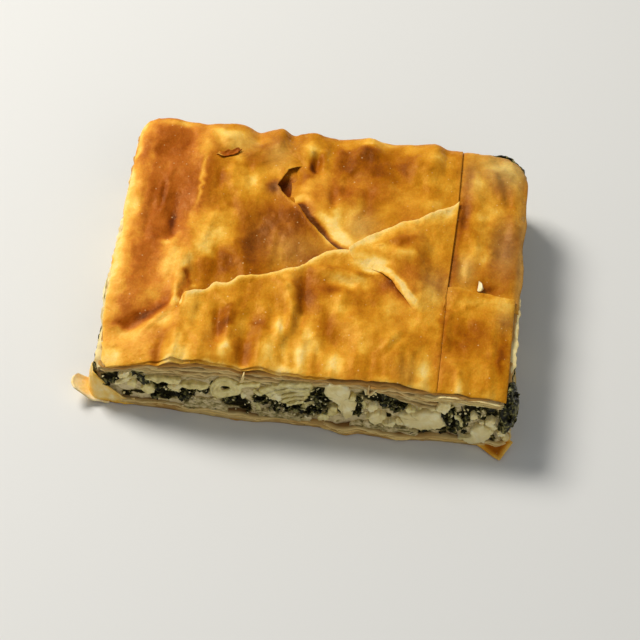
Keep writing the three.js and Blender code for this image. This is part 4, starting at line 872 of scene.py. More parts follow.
def spinach_custard():
    """What binds the filling: egg, soft cheese and chopped spinach, blotched grey green and cream."""
    material, tree, shader, place = new_material("bound_spinach_and_cheese")
    green = add_node(tree, "ShaderNodeAttribute", attribute_name="greenness").outputs["Fac"]
    blotch = add_node(tree, "ShaderNodeTexNoise", {
        "Vector": place, "Scale": millimetres(1.6), "Detail": 4.0, "Roughness": 0.6,
    })
    flat = add_node(tree, "ShaderNodeVectorMath", {0: place, 1: (0.35, 0.35, 1.4)}, operation="MULTIPLY")
    streak = add_node(tree, "ShaderNodeTexNoise", {
        "Vector": flat, "Scale": millimetres(1.1), "Detail": 4.0, "Roughness": 0.65, "Distortion": 0.8,
    })
    shifted = add_node(tree, "ShaderNodeMath", {0: blotch, 1: 1.2, 2: green}, operation="MULTIPLY_ADD")
    layered = add_node(tree, "ShaderNodeMath", {0: streak, 1: 1.4, 2: shifted}, operation="MULTIPLY_ADD")
    level = add_node(tree, "ShaderNodeMath", {0: layered, 1: 1.26}, operation="SUBTRACT")
    tint = add_node(tree, "ShaderNodeValToRGB", {"Fac": level}, stops=[
        (0.05, "#e8d6a6"), (0.95, "#0e0d05"), (0.22, "#ccba82"), (0.38, "#a69660"), (0.55, "#6c6236"),
        (0.74, "#2c2a14"),
    ])
    bump = add_node(tree, "ShaderNodeBump", {"Height": streak, "Strength": 0.9, "Distance": 0.6 * MM})
    set_inputs(tree, shader, {
        "Base Color": tint, "Normal": bump, "Roughness": 0.5, "Specular IOR Level": 0.15,
        "Specular Tint": colour("#ffe8b0"),
    })
    return material


browned = browned_phyllo()
# The last colour of each pale phyllo is its painted shade between the leaves.
stack_leaf = pale_phyllo("steamed_pale_phyllo", [
    (0.0, "#b8a06a"), (1.0, "#cb9850"), (0.12, "#f6e2a4"), (0.25, "#c2a46a"), (0.37, "#ffeaa8"),
    (0.49, "#c6a064"), (0.61, "#fee29c"), (0.73, "#c89a58"), (0.85, "#fcda90"), (0.95, "#eec980"),
], "#5c4424")
bottom_leaf = pale_phyllo("pale_bottom_phyllo", [
    (0.0, "#c4964e"), (1.0, "#fee4a0"), (0.2, "#f4d488"), (0.4, "#cc9e56"), (0.6, "#fcde94"),
    (0.8, "#deb66a"),
], "#8c683a")
spinach = wilted_spinach()
feta = feta_curd()
onion = soft_onion()
custard = spinach_custard()


# ---- Browned leaves ----
# The frame's nodes that the pieces stand for, each with its material slot
TOP_CRUST = ("top_crust", "browned_crust")
FILLING = ("spinach_filling", "spinach_feta")
BOTTOM_CRUST = ("bottom_crust", "pale_crust")


def dress(piece, part):
    node, slot = part
    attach(piece, "root")
    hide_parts(node)
    return piece


def browned_leaf(name, x, y, level, painted_light):
    """A leaf from its grid in plan. The painted light given makes it paler, as painted highlights along edges
    that lift clear of the rest and face the light, and darker where negative, as painted shade.
    """
    top = level(x, y)
    brown = np.clip(browning_and_painted_light(x, y) - painted_light, PALEST_TOP, 1)
    facts = {"browning_and_painted_light": brown, "ruddiness": ruddiness(x, y), "painted_sheen_and_shade": painted_sheen_and_shade(x, y)}
    return dress(sheet_solid(name, x, y, top, top - LEAF_THICKNESS, facts, browned), TOP_CRUST)


def ruled(near, far, rows):
    """A grid between two lines in plan with the same number of points."""
    v = np.linspace(0, 1, rows)[:, None]
    return mix(near[None, :, 0], far[None, :, 0], v), mix(near[None, :, 1], far[None, :, 1], v)


def cut_line(start, end, count, y_mean, seed):
    """A cut edge of the top leaves along the front or back, a little ragged."""
    x = np.linspace(start, end, count)
    return np.stack([x, y_mean + 0.5 * noise(x / 8, 0.5, seed) + 0.22 * noise(x / 1.9, 1.5, seed)], -1)


CELL = 0.7  # spacing of the leaves' meshes


def cells(length):
    return int(round(length / CELL)) + 1


def left_leaf():
    v, u = grid((-1, 1, cells(DEPTH)), (0, 1, cells(76)))
    edge = graph(LEFT_LEAF_EDGE, v * HALF_DEPTH) + 0.25 * noise(v * HALF_DEPTH / 1.6, 0.5, 41)
    across = mix(-1, edge / HALF_LENGTH, u)
    x, y = plan(across, v, HALF_LENGTH - 0.4, HALF_DEPTH - 0.4, 5)
    x = x + drawn_in(x, y)
    # Painted highlight along the lip by the slit, and painted shade where this leaf dips beside the front
    # leaf's lip.
    lip = 0.12 * decay(edge - x, 0.7) * smooth(-2, 2, y)
    shade = 0.22 * decay(from_line(x, y, FRONT_LEAF_EDGE[5:-2]), 2) * smooth(-42, -38, x)
    return browned_leaf("left_leaf", x, y, left_level, painted_light=lip - shade)


def front_leaf():
    count = cells(108)
    near = cut_line(-HALF_LENGTH + 2.6, seam_at(-HALF_DEPTH) - 0.2, count, -HALF_DEPTH + 0.8, 31)
    line = FRONT_LEAF_EDGE[:-2] + [(24, -4), (float(seam_at(-6)) - 0.3, -6)]
    far = wobbled(along(line, np.linspace(0, 1, count)), 0.3, 2.2, 42)
    x, y = ruled(near, far, cells(40))
    x = x + drawn_in(x, y)
    d = from_line(x, y, FRONT_LEAF_EDGE[5:-2])
    # Painted highlight along the front leaf's lip, which faces the light, and painted shadow under the
    # wedge's rolled edge.
    lip = (0.3 * bell(d, 1.3) + 0.14 * decay(d, 3)) * smooth(-43.4, -40.4, x)
    by_roll = bell(from_line(x, y, WEDGE_LOWER_EDGE), 1.6)
    shade = 0.3 * by_roll * smooth(-23, -17, y) * smooth(18, 25, x)
    return browned_leaf("front_leaf", x, y, front_level, painted_light=lip - shade)


def back_leaf():
    count = cells(64)
    line = along(BACK_LEAF_EDGE, np.linspace(0, 1, count))
    line[:, 0] = np.minimum(line[:, 0], seam_at(line[:, 1]) - 0.3)
    far = cut_line(-20, seam_at(HALF_DEPTH) - 0.3, count, HALF_DEPTH - 0.2, 32)
    x, y = ruled(line, far, cells(44))
    d = from_line(x, y, BACK_LEAF_EDGE[6:12])
    wide = smooth(3, 10, y)
    # Painted shadow, with some real brown colour, in the slit under the left leaf's lip, and a painted
    # highlight on the flank rising from it.
    slit_shadow_and_brown = 0.8 * smooth(2.9 + 0.9 * wide, 1.1 + 0.9 * wide, d)
    lip = (0.18 + 0.12 * wide) * bell(d - 4.4 - 1.1 * wide, 1.7) * smooth(27, 20, y)
    return browned_leaf("back_leaf", x, y, back_level, painted_light=lip - slit_shadow_and_brown)


def wedge_leaf():
    share = np.linspace(0.015, 1, cells(46))
    near = wobbled(along(WEDGE_LOWER_EDGE, share), 0.2, 2.2, 43)
    far = wobbled(along(WEDGE_UPPER_EDGE, share), 0.2, 2.2, 44)
    x, y = ruled(near, far, cells(40))
    x = np.minimum(x, seam_at(y) - 0.3)
    d = from_line(x, y, WEDGE_UPPER_EDGE)
    # Painted highlights along the upper lip and on the rolled lower edge, where they face the light.
    lip = 0.16 * bell(d, 1.4) + 0.22 * bell(d, 4)
    return browned_leaf("wedge_leaf", x, y, wedge_level, painted_light=lip + 0.2 * wedge_roll(x, y))


def strip_leaf():
    v, u = grid((-0.32, 1, cells(72)), (0.58, 1, cells(28)))
    x, y = plan(u, v, HALF_LENGTH + 0.4, HALF_DEPTH - 0.2, 6)
    shrunk = 1.7 * smooth(52, 62, x) * smooth(40, 51, y)
    width = mix(0.6, 1.5, smooth(-6, 18, y))
    # Painted shadow of the step at the seam, on the strip just right of it.
    shade = 0.17 * bell(x - seam_at(y) - 0.7 * width, width) * smooth(34, 26, y)
    return browned_leaf("right_strip_leaf", x - shrunk, y - shrunk, strip_level, painted_light=-shade)


def right_leaf():
    count = cells(25)
    x = np.linspace(seam_at(-12) + 0.1, HALF_LENGTH - 1.3, count)
    near = np.stack([x - 0.6 * (x > 50) * (x - 50) / 14, -HALF_DEPTH + 0.9 + 0.4 * noise(x / 6, 0.5, 36)], -1)
    far = np.stack([x, graph(RIGHT_LEAF_EDGE, x) + 0.25 * noise(x / 1.8, 0.5, 37)], -1)
    x, y = ruled(near, far, cells(42))
    x = x + (seam_at(y) + 0.1 - x[:, :1]) * np.linspace(1, 0, count)
    # Painted highlight along the leaf's back edge, where it catches the light.
    d = graph(RIGHT_LEAF_EDGE, x) - y
    return browned_leaf("right_leaf", x, y, right_level, painted_light=0.08 * decay(d, 0.8))


def crust_core():
    """The close-packed leaves under the browned ones, which the stack's loose edges grow out of."""
    v, u = grid((-1, 1, cells(DEPTH) // 2), (-1, 1, cells(LENGTH) // 2))
    x, y = plan(u, v, HALF_LENGTH - 4.6, HALF_DEPTH - 4.2, 3)
    x = x - 1.5 * smooth(50, 62, x) * smooth(-8, -24, y)
    # Where the slit and the torn hole open onto it, the core is painted darker and redder: painted shade in
    # the slit, and the hole's own reddish brown.
    opened = np.maximum(smooth(2.2, 0.8, from_line(x, y, SLIT)), smooth(4, 2, from_line(x, y, TORN_HOLE)))
    facts = {"browning_and_painted_light": 0.6 + 0.3 * opened, "ruddiness": opened}
    top = under_crust(x, y, 0.9) - 1.4 * opened
    piece = sheet_solid("crust_core", x, y, top, stack_underside(x, y) + 0.2, facts, browned)
    return dress(piece, TOP_CRUST)


def torn_flake():
    """A curled scrap beside a torn spot in the left leaf, dark reddish brown and paler towards its left end.
    """
    v, u = grid((-1, 1, 15), (-1, 1, 27))
    ragged = 1 + 0.25 * noise(u * 3, v * 2, 45)
    along_flake = FLAKE_LENGTH / 2 * u * ragged
    across = FLAKE_WIDTH / 2 * v * np.sqrt(1.02 - u * u) * ragged
    c, s = math.cos(FLAKE_TURN), math.sin(FLAKE_TURN)
    x, y = FLAKE[0] + along_flake * c - across * s, FLAKE[1] + along_flake * s + across * c
    lift = 0.1 + 0.6 * ((1 - v) / 2) ** 2 + 0.25 * u * u + 0.15 * noise(u * 4, v * 3, 46)
    brown = 0.74 - 0.4 * smooth(-0.3, -0.95, u) + 0.1 * noise(u * 3, v * 2, 47)
    facts = {"browning_and_painted_light": brown, "ruddiness": 1 + 0 * x}
    z = left_level(x, y) + lift
    return dress(sheet_solid("torn_flake", x, y, z, z - 0.25, facts, browned), TOP_CRUST)


left_leaf()
torn_flake()
front_leaf()
back_leaf()
wedge_leaf()
strip_leaf()
right_leaf()
crust_core()


# ---- Geometry Nodes ----
def geometry_tree(name, sizes):
    """A new tree with a geometry input, named number inputs and a geometry output."""
    tree = bpy.data.node_groups.new(name, "GeometryNodeTree")
    tree.interface.new_socket("Geometry", in_out="INPUT", socket_type="NodeSocketGeometry")
    for key, value in sizes.items():
        kind = "NodeSocketInt" if isinstance(value, int) else "NodeSocketFloat"
        tree.interface.new_socket(key, in_out="INPUT", socket_type=kind).default_value = value
    tree.interface.new_socket("Geometry", in_out="OUTPUT", socket_type="NodeSocketGeometry")
    return tree, add_node(tree, "NodeGroupInput").outputs


def grown(source, tree, sizes, name):
    """The source with the tree applied, as a new plain mesh object. The source is removed."""
    modifier = source.modifiers.new(tree.name, "NODES")
    modifier.node_group = tree
    for item in tree.interface.items_tree:
        if item.in_out == "INPUT" and item.name in sizes:
            modifier[item.identifier] = sizes[item.name]
    depsgraph = bpy.context.evaluated_depsgraph_get()
    mesh = bpy.data.meshes.new_from_object(source.evaluated_get(depsgraph))
    mesh.name = name
    shade(mesh, True)
    bpy.data.objects.remove(source)
    return in_scene(name, mesh)


def end_tree(tree, geometry, material):
    """Closes a tree: what is instanced becomes real mesh and takes its material."""
    real = add_node(tree, "GeometryNodeRealizeInstances", {0: geometry})
    painted = add_node(tree, "GeometryNodeSetMaterial", {"Geometry": real, "Material": material})
    add_node(tree, "NodeGroupOutput", {0: painted})


def leaf_stack_tree(material):
    """Copies one leaf's edge upwards between two levels, each copy wavering in height, reach and curl."""
    tree, given = geometry_tree("leaf_stack", {
        "Leaves": 10, "Reach": 0.002, "Ragged": 0.001, "Waver": 1.0, "Curl": 0.001, "Seed": 1,
    })
    single = add_node(tree, "GeometryNodeGeometryToInstance", {0: given["Geometry"]})
    copies = add_node(tree, "GeometryNodeDuplicateElements", {
        "Geometry": single, "Amount": given["Leaves"],
    }, domain="INSTANCE")
    numbered = add_node(tree, "GeometryNodeStoreNamedAttribute", {
        "Geometry": copies, "Name": "leaf_number", "Value": copies.outputs[1],
    }, data_type="FLOAT", domain="INSTANCE")
    real = add_node(tree, "GeometryNodeRealizeInstances", {0: numbered})
    number, lower, upper, rim = [
        add_node(tree, "GeometryNodeInputNamedAttribute", {"Name": key}, data_type="FLOAT")
        for key in ("leaf_number", "lower", "upper", "rim")
    ]
    outward = add_node(tree, "GeometryNodeInputNamedAttribute", {"Name": "outward"},
                       data_type="FLOAT_VECTOR")
    place = add_node(tree, "GeometryNodeInputPosition")
    drift = add_node(tree, "ShaderNodeMath", {0: number, 1: 7.31, 2: given["Seed"]},
                     operation="MULTIPLY_ADD")
    chance = add_node(tree, "FunctionNodeRandomValue", {2: -0.5, 3: 0.5, "ID": number, "Seed": given["Seed"]},
                      data_type="FLOAT").outputs[1]
    waver, broad, torn, curl = [
        add_node(tree, "ShaderNodeMath", {0: add_node(tree, "ShaderNodeTexNoise", {
            "Vector": place, "W": drift, "Scale": millimetres(size), "Detail": 1.0,
        }, noise_dimensions="4D"), 1: 0.5}, operation="SUBTRACT")
        for size in (15, 7, 1.8, 11)
    ]
    middle = add_node(tree, "ShaderNodeMath", {0: number, 1: 0.5}, operation="ADD")
    uneven = add_node(tree, "ShaderNodeMath", {0: chance, 1: 1.0, 2: middle}, operation="MULTIPLY_ADD")
    floor = add_node(tree, "ShaderNodeMath", {0: waver, 1: given["Waver"], 2: uneven},
                     operation="MULTIPLY_ADD")
    share = add_node(tree, "ShaderNodeMath", {0: floor, 1: given["Leaves"]}, operation="DIVIDE")
    level = add_node(tree, "ShaderNodeMapRange", {0: share, 3: lower, 4: upper})
    curled = add_node(tree, "ShaderNodeMath", {0: curl, 1: given["Curl"]}, operation="MULTIPLY")
    height = add_node(tree, "ShaderNodeMath", {0: curled, 1: rim, 2: level}, operation="MULTIPLY_ADD")
    swing = add_node(tree, "ShaderNodeMath", {0: chance, 1: 0.25, 2: broad}, operation="MULTIPLY_ADD")
    reach = add_node(tree, "ShaderNodeMath", {0: swing, 1: given["Reach"]}, operation="MULTIPLY")
    jag = add_node(tree, "ShaderNodeMath", {0: torn, 1: given["Ragged"], 2: reach},
                   operation="MULTIPLY_ADD")
    out = add_node(tree, "ShaderNodeMath", {0: jag, 1: rim}, operation="MULTIPLY")
    aside = add_node(tree, "ShaderNodeVectorMath", {0: outward, "Scale": out}, operation="SCALE")
    up = add_node(tree, "ShaderNodeCombineXYZ", {"Z": height})
    offset = add_node(tree, "ShaderNodeVectorMath", {0: aside, 1: up}, operation="ADD")
    moved = add_node(tree, "GeometryNodeSetPosition", {"Geometry": real, "Offset": offset})
    shaded = add_node(tree, "ShaderNodeMath", {0: chance, 1: 0.3, 2: share}, operation="MULTIPLY_ADD")
    shared = add_node(tree, "GeometryNodeStoreNamedAttribute", {
        "Geometry": moved, "Name": "share", "Value": shaded,
    }, data_type="FLOAT", domain="POINT")
    end_tree(tree, shared, material)
    return tree


BAND = 4.5  # how far a leaf's edge band reaches inwards
BAND_PLACES = np.array([-BAND, -1.8, -0.6, 0])


def leaf_band(name, down, lower, upper, thickness, recede):
    """One leaf's edge as a thin closed band round the whole cut, at height 0."""
    points, outward = cut_ring(CUT_PLACES, down)
    points = points - outward * recede(points[:, 0], points[:, 1])[:, None]
    across = np.concatenate([BAND_PLACES, BAND_PLACES[::-1]])
    half = np.array([1, 1, 0.9, 0.45]) * thickness / 2
    sections = np.zeros((len(points), len(across), 3))
    sections[..., :2] = points[:, None] + outward[:, None] * across[None, :, None]
    sections[..., 2] = np.concatenate([-half, half[::-1]])
    flat = sections.reshape(-1, 3)
    directions = np.zeros_like(sections)
    directions[..., :2] = outward[:, None]
    facts = {
        "lower": lower(flat[:, 0], flat[:, 1]) * MM,
        "upper": upper(flat[:, 0], flat[:, 1]) * MM,
        # rim is 1 at the leaf's edge and less further in: it sets the curl and reach, and the painted shade
        # between the leaves.
        "rim": np.tile((1 + across / BAND) ** 2, len(points)),
        "outward": directions.reshape(-1, 3),
    }
    return ring_solid(name, sections, facts, None)


def front_right_shrink(x, y):
    return RIGHT_SHRINK * smooth(50, 64, x) * smooth(-8, -24, y)


def stack_edges():
    """The pale leaves that show at the cut under the browned ones."""
    def recede(x, y):
        return 0.35 * front_right_shrink(x, y) + drawn_in(x, y)

    band = leaf_band("stack_band", 0.12, lambda x, y: stack_underside(x, y) + 0.1,
                     lambda x, y: under_crust(x, y, 0.5), 0.3, recede)
    sizes = {"Leaves": 9, "Reach": 3.6 * MM, "Ragged": 1.2 * MM, "Waver": 2.2, "Curl": 1.6 * MM, "Seed": 3}
    stack = grown(band, leaf_stack_tree(stack_leaf), sizes, "pale_leaf_stack")
    return dress(stack, TOP_CRUST)


def pale_margin(name, side, start, end, reach, seed):
    """A pale leaf that shows past the browned ones along part of a side cut."""
    y, u = grid((start, end, cells(end - start)), (0, 1, 9))
    fade = smooth(start, start + 4, y) * smooth(end, end - 4, y)
    torn = 0.5 * noise(y / 3.4, 0.5, seed) + 0.4 * noise(y / 1.3, 0.5, seed + 1)
    x = HALF_LENGTH - 4 + u * (3.2 + fade * (reach + torn))
    level = under_crust(side * np.minimum(x, HALF_LENGTH - 1), y, 0.3)
    z = level - 0.6 * u * u + 0.2 * noise(x / 2, y / 3, seed + 2)
    facts = {
        "share": 0.38 + 0.1 * noise(x / 1.5, y / 5, seed + 3),
        # rim near 1 keeps nearly all the painted shade off this leaf.
        "rim": 0.9 + 0.1 * noise(x / 2, y / 3, seed + 4),
    }
    if side < 0:
        x, y, z = x[:, ::-1], y[:, ::-1], z[:, ::-1]
        facts = {key: fact[:, ::-1] for key, fact in facts.items()}
    return dress(sheet_solid(name, side * x, y, z, z - 0.2, facts, stack_leaf), TOP_CRUST)


# The level of the bright leaves along the right of the front cut, as (x, z)
FRONT_MARGIN_RISE = [(30, 21.2), (36, 20.6), (42, 20.7), (47, 21.9), (52, 22.4), (57, 22.2), (63, 20.4)]
FRONT_MARGINS = [(0, 38, 0), (0.8, 35, 0.4), (1.6, 37, 0.2)]  # each one's drop, start and reach
FRONT_MARGIN_END = 62.6


def front_margin(name, lower, start, reach, seed):
    """A pale leaf's edge along the right of the front cut, brighter and plainer than those of the stack."""
    steps = cells(FRONT_MARGIN_END - start)
    v, u = grid((0, 1, 9), (0, 1, steps))
    x = mix(start, FRONT_MARGIN_END, u)
    fade = smooth(0, 0.15, u) * smooth(1, 0.94, u)
    torn = 0.4 + reach + 0.35 * noise(x / 4, 0.5, seed) + 0.2 * noise(x / 1.3, 0.5, seed + 1)
    y = -HALF_DEPTH + 3 - v[::-1] * (2.6 + fade * torn)
    z = graph(FRONT_MARGIN_RISE, x) - lower + 0.25 * noise(x / 3.4, y / 5, seed + 2)
    z = np.minimum(z, under_crust(x, np.maximum(y, 1 - HALF_DEPTH), 0.6 + lower))
    # rim puts painted shade on this leaf towards its inner end.
    facts = {"share": 0.38 + 0.05 * noise(x / 4, y, seed + 3), "rim": 0.5 + 0.5 * v[::-1]}
    return dress(sheet_solid(name, x, y, z, z - 0.25, facts, stack_leaf), TOP_CRUST)


def bottom_edges():
    """The edges of the bottom leaves, which swell and kink along the front."""
    band = leaf_band("bottom_band", 1.1, lambda x, y: 0.35 + 0 * x,
                     lambda x, y: bottom_top(x, y) - 0.2, 0.36, lambda x, y: -0.8 * front_bulge(x, y))
    sizes = {"Leaves": 5, "Reach": 2.4 * MM, "Ragged": 1.2 * MM, "Waver": 1.6, "Curl": 1.2 * MM, "Seed": 8}
    edges = grown(band, leaf_stack_tree(bottom_leaf), sizes, "bottom_leaf_edges")
    return dress(above_floor(edges, 0.1), BOTTOM_CRUST)


# ---- Filling ----
# Places on the front cut as (x, z): where spinach packs densely, with half width and half height
FRONT_SPINACH = [
    (-23.7, 12.6, 1.2, 1.2), (-60, 10.2, 2.6, 2.2), (-57, 12.8, 1.8, 1.7), (-51, 16.2, 2.2, 2.2),
    (-46.4, 11.6, 3.4, 1.7), (-42, 8, 4.8, 3.7), (-37, 8, 3.2, 3.2), (-30.6, 10.8, 2, 1.8),
    (-20.4, 6.8, 3.8, 2.8), (-17, 4.6, 2.2, 1.8), (-12, 9.6, 2.6, 2.4), (-7, 8, 2, 1.6),
    (-2.6, 7.4, 3, 2.4), (3.2, 8, 2.6, 4), (6, 12.4, 3.4, 4.4), (9, 13, 1.8, 2), (24, 16.2, 5.6, 1.9),
    (30, 14.6, 3, 1.2), (22, 18, 1.8, 1.6), (18, 11.2, 1.7, 3.8), (46.8, 12, 2, 3.4),
    (49.6, 8.6, 2.4, 2.6), (53.4, 16.2, 2.6, 2.2), (56.4, 18, 3.4, 2), (59.6, 15, 1.8, 2.2),
    (51.4, 12, 2.6, 2.4), (44, 4.8, 4.4, 0.9), (38.4, 2.8, 2.6, 1.2), (59.6, 2.6, 2, 2.4),
    (-54.6, 3.8, 1.5, 1.3), (-25.4, 3.6, 1.6, 1.4), (-50, 5.6, 3, 0.7), (57.6, 11.8, 1.4, 1.4),
    (11, 8.4, 1.6, 1.2), (27.6, 8.4, 1, 1),
]

# Crumbled feta on the front cut: outlines as (x, z)
FRONT_FETA = [
    [(7.4, 19.4), (9.6, 21.2), (13, 21), (15.4, 19), (15, 15.6), (17.6, 14.4), (17, 10.4), (15.2, 5.6),
     (13.8, 7.4), (12.4, 10.6), (10.6, 13.6), (8, 15.4)],
    [(30.6, 10.6), (33, 11.8), (37, 12.6), (41, 13.4), (43.8, 13.4), (44, 10.6), (45.6, 8.6), (42.4, 6.4),
     (38, 5.4), (34, 5.2), (32.4, 7.2)],
    [(20.8, 7.4), (22.6, 10), (25, 10.8), (27, 10), (26.4, 7.6), (25, 5.8), (22.4, 5.8)],
    [(26.4, 5.2), (28.2, 7.2), (30, 7), (29.6, 5.6), (28, 5)],
    [(50.6, 3.2), (53.4, 4.6), (53.8, 7.6), (56, 9.4), (59, 9.6), (60.8, 8.4), (60, 5.4), (58.4, 2.2),
     (55.4, 1.6), (52.4, 2.2)],
    [(43, 18.2), (45.6, 19), (46.6, 16.8), (44.8, 14.6), (42.6, 15.4)],
    [(52.6, 13.4), (53.4, 15.6), (54.8, 15), (54.6, 13)],
    [(58.2, 11), (58.8, 13.6), (60.6, 13.4), (60.4, 11)],
    [(-41.6, 11.6), (-39.4, 12.7), (-36.8, 12), (-37.6, 10.2), (-39.8, 9.8)],
    [(-58.4, 10.2), (-55.4, 13), (-53, 14), (-53.2, 12.8), (-55.4, 11), (-57.6, 9.6)],
    [(-57.6, 13.2), (-56, 14.6), (-53.8, 15), (-54, 14), (-56.4, 12.8)],
    [(-9.6, 12.2), (-8, 14), (-5.6, 13.4), (-6.4, 11.4), (-8.4, 11)],
    [(20.4, 12.6), (22, 14.2), (24, 13.6), (23.4, 11.6), (21.4, 11)],
    [(61.8, 7), (63, 9.2), (64.8, 8.4), (64.2, 6.4)],
]

# Onion and leek on the front cut, the same way
FRONT_ONION = [
    [(-13.6, 14.4), (-9, 17.6), (-3, 19.4), (3.4, 19.6), (3.6, 18.6), (-2.4, 18.3), (-8, 16.4),
     (-12.6, 13.4)],
    [(-11.4, 13), (-7.6, 15.6), (-2, 17.6), (3, 18), (3, 17), (-1.6, 16.6), (-6.6, 14.4), (-10.4, 12)],
    [(-9.2, 11.8), (-5.4, 14), (-0.6, 15.9), (2.6, 16.4), (2.6, 15.4), (-0.4, 14.9), (-4.6, 12.8),
     (-8.2, 11)],
    [(-7, 10.8), (-3.4, 12.5), (0.4, 14.2), (2, 14.6), (1.8, 13.6), (-0.4, 13.1), (-3, 11.4), (-6, 10)],
    [(-4.2, 9.9), (-1.4, 11.2), (1, 12.4), (1.4, 11.4), (-1, 10.2), (-3.4, 9.2)],
    [(-21, 15.4), (-17, 17), (-12.6, 17.6), (-13, 16.4), (-17, 15.4), (-20, 14)],
    [(-37.6, 13), (-33, 13.8), (-28.8, 13.2), (-29.2, 12.1), (-33, 12), (-36.8, 11.8)],
    [(-48.8, 13.4), (-46, 14.8), (-42, 15), (-37.4, 14.4), (-38, 13.4), (-41.4, 12.6), (-43, 13.2),
     (-45.4, 12.4)],
    [(-50, 8.4), (-48.4, 10.8), (-46.2, 10), (-45.8, 7.6), (-48, 6.6)],
    [(8.8, 7.4), (9.8, 10.2), (11.4, 10.6), (12, 8.6), (10.6, 6.8)],
    [(5.6, 4.8), (7, 6.4), (9.6, 6), (9, 4.4), (7, 4)],
    [(14.8, 15), (15.8, 17), (17.2, 15.8), (16.2, 14.2)],
    [(-54.6, 9.6), (-53.4, 11.8), (-51.4, 11.2), (-52, 9)],
    [(32.4, 13.6), (34.6, 14.6), (36, 13.4), (34, 12.6)],
]
ONION_RING = (-23.7, 12.8)  # its middle on the front cut
ONION_RING_RADIUS = 3.1
ONION_RING_THICKNESS = 3.6

# Where the bound filling bulges low over the bottom leaves, the same way
FRONT_FOLDS = [
    [(16, 3.6), (20, 5), (26, 5.2), (32, 4.6), (37, 4), (37.6, 1.8), (30, 1), (22, 0.9), (16.4, 1.6)],
    [(-14, 4.6), (-8, 5.2), (-1, 4.4), (4, 3.8), (4, 1.6), (-4, 1.4), (-12, 1.6)],
    [(-34, 6.4), (-29, 7.2), (-25, 6), (-22, 3), (-26, 1.6), (-33, 1.8), (-36, 3.6)],
]

# Slivers of leaf that stand up out of the cut, the same way
FRONT_SLIVERS = [
    [(-19.4, 17.6), (-18.8, 19.8), (-18.1, 21.6), (-17.9, 19.4), (-18.4, 17.4)],
    [(20, 19), (20.3, 21.4), (20.7, 22.6), (21, 20.4), (21, 18.8)],
    [(20.6, 18.8), (22, 20.8), (23.4, 22), (22.4, 20), (21.4, 18.6)],
]

LEFT_CURD = (-65.4, -20, 13.2)
LEFT_CURD_SIZE = (2.6, 6.4, 3.4)
TOP_CRUMB = (52.3, -8.8, 24.8)
TOP_CRUMB_SIZE = (1, 1.7, 0.9)
CORNER_CLUMP = (64.1, -48.2, 13.8)
CORNER_CLUMP_SIZE = (3.4, 7.4, 8)
FRONT_FACE = -HALF_DEPTH - 0.1
FILLING_SHELL = 7  # how deep the filling's core is drawn

# Where spinach is squeezed out round the back right corner, as (x, y)
BACK_RIM = [(50, 54.4), (53.4, 55), (57.6, 54.2), (61.2, 51.6), (63.8, 47.4), (64.8, 42)]


def spinach_cover(x, y, z):
    """Where the filling is mostly spinach, from 0 to 1: by name on the front, by chance elsewhere."""
    front = np.zeros(np.shape(x))
    for at_x, at_z, half_width, half_height in FRONT_SPINACH:
        d = np.hypot((x - at_x) / half_width, (z - at_z) / half_height)
        front = np.maximum(front, smooth(1.35, 0.75, d))
    p = np.stack([x / 7, y / 7, z / 4], -1)
    elsewhere = 0.9 * smooth(-0.2, 0.25, 0.8 * noise3(p, 51) + 0.7 * noise3(p * 2.2, 54))
    return mix(elsewhere, front, smooth(-50, -52.6, y))


def filling_wall(count, rows, base):
    """Points of the filling's cut sides: places round the cut by rows upwards, and outward directions."""
    t = np.linspace(0, 1, rows)
    walls, directions = [], []
    for share in t:
        points, outward = cut_ring(count, mix(FILLING_TO, FILLING_FROM, share))
        low = bottom_top(points[:, 0], points[:, 1]) - 0.2
        z = mix(low, stack_underside(points[:, 0], points[:, 1]) + 0.3, share)
        walls.append(np.concatenate([points, z[:, None]], -1))
        directions.append(np.concatenate([outward, np.zeros((count, 1))], -1))
    wall, direction = np.stack(walls, 1), np.stack(directions, 1)
    relief = 0.55 * noise3(wall / 3.4, 61) + 0.4 * noise3(wall / 1.5, 64)
    return wall + direction * (base + relief)[..., None], direction


def filling_core():
    """The bound mass of the filling, blotched green and cream, recessed behind the pieces that show."""
    wall, direction = filling_wall(CUT_PLACES, 20, -1.0)
    inner_top = wall[:, -1:] - direction[:, -1:] * FILLING_SHELL
    inner_bottom = wall[:, :1] - direction[:, :1] * FILLING_SHELL
    sections = np.concatenate([wall, inner_top, inner_bottom], 1)[:, ::-1]
    facts = {"greenness": spinach_cover(*sections.reshape(-1, 3).T)}
    piece = ring_solid("filling_core", sections, facts, custard)
    return dress(piece, FILLING)


def wall_source(name, base, density):
    """The filling's sides as an open strip that pieces are strewn over, with a density at each point."""
    count, rows = 300, 10
    wall, _ = filling_wall(count, rows, base)
    i, j = np.meshgrid(np.arange(count), np.arange(rows - 1), indexing="ij")
    after = (i + 1) % count
    quads = np.stack([i * rows + j, after * rows + j, after * rows + j + 1, i * rows + j + 1], -1)
    flat = wall.reshape(-1, 3)
    return make_object(name, flat, quads.reshape(-1, 4).tolist(), {"density": density(*flat.T)})


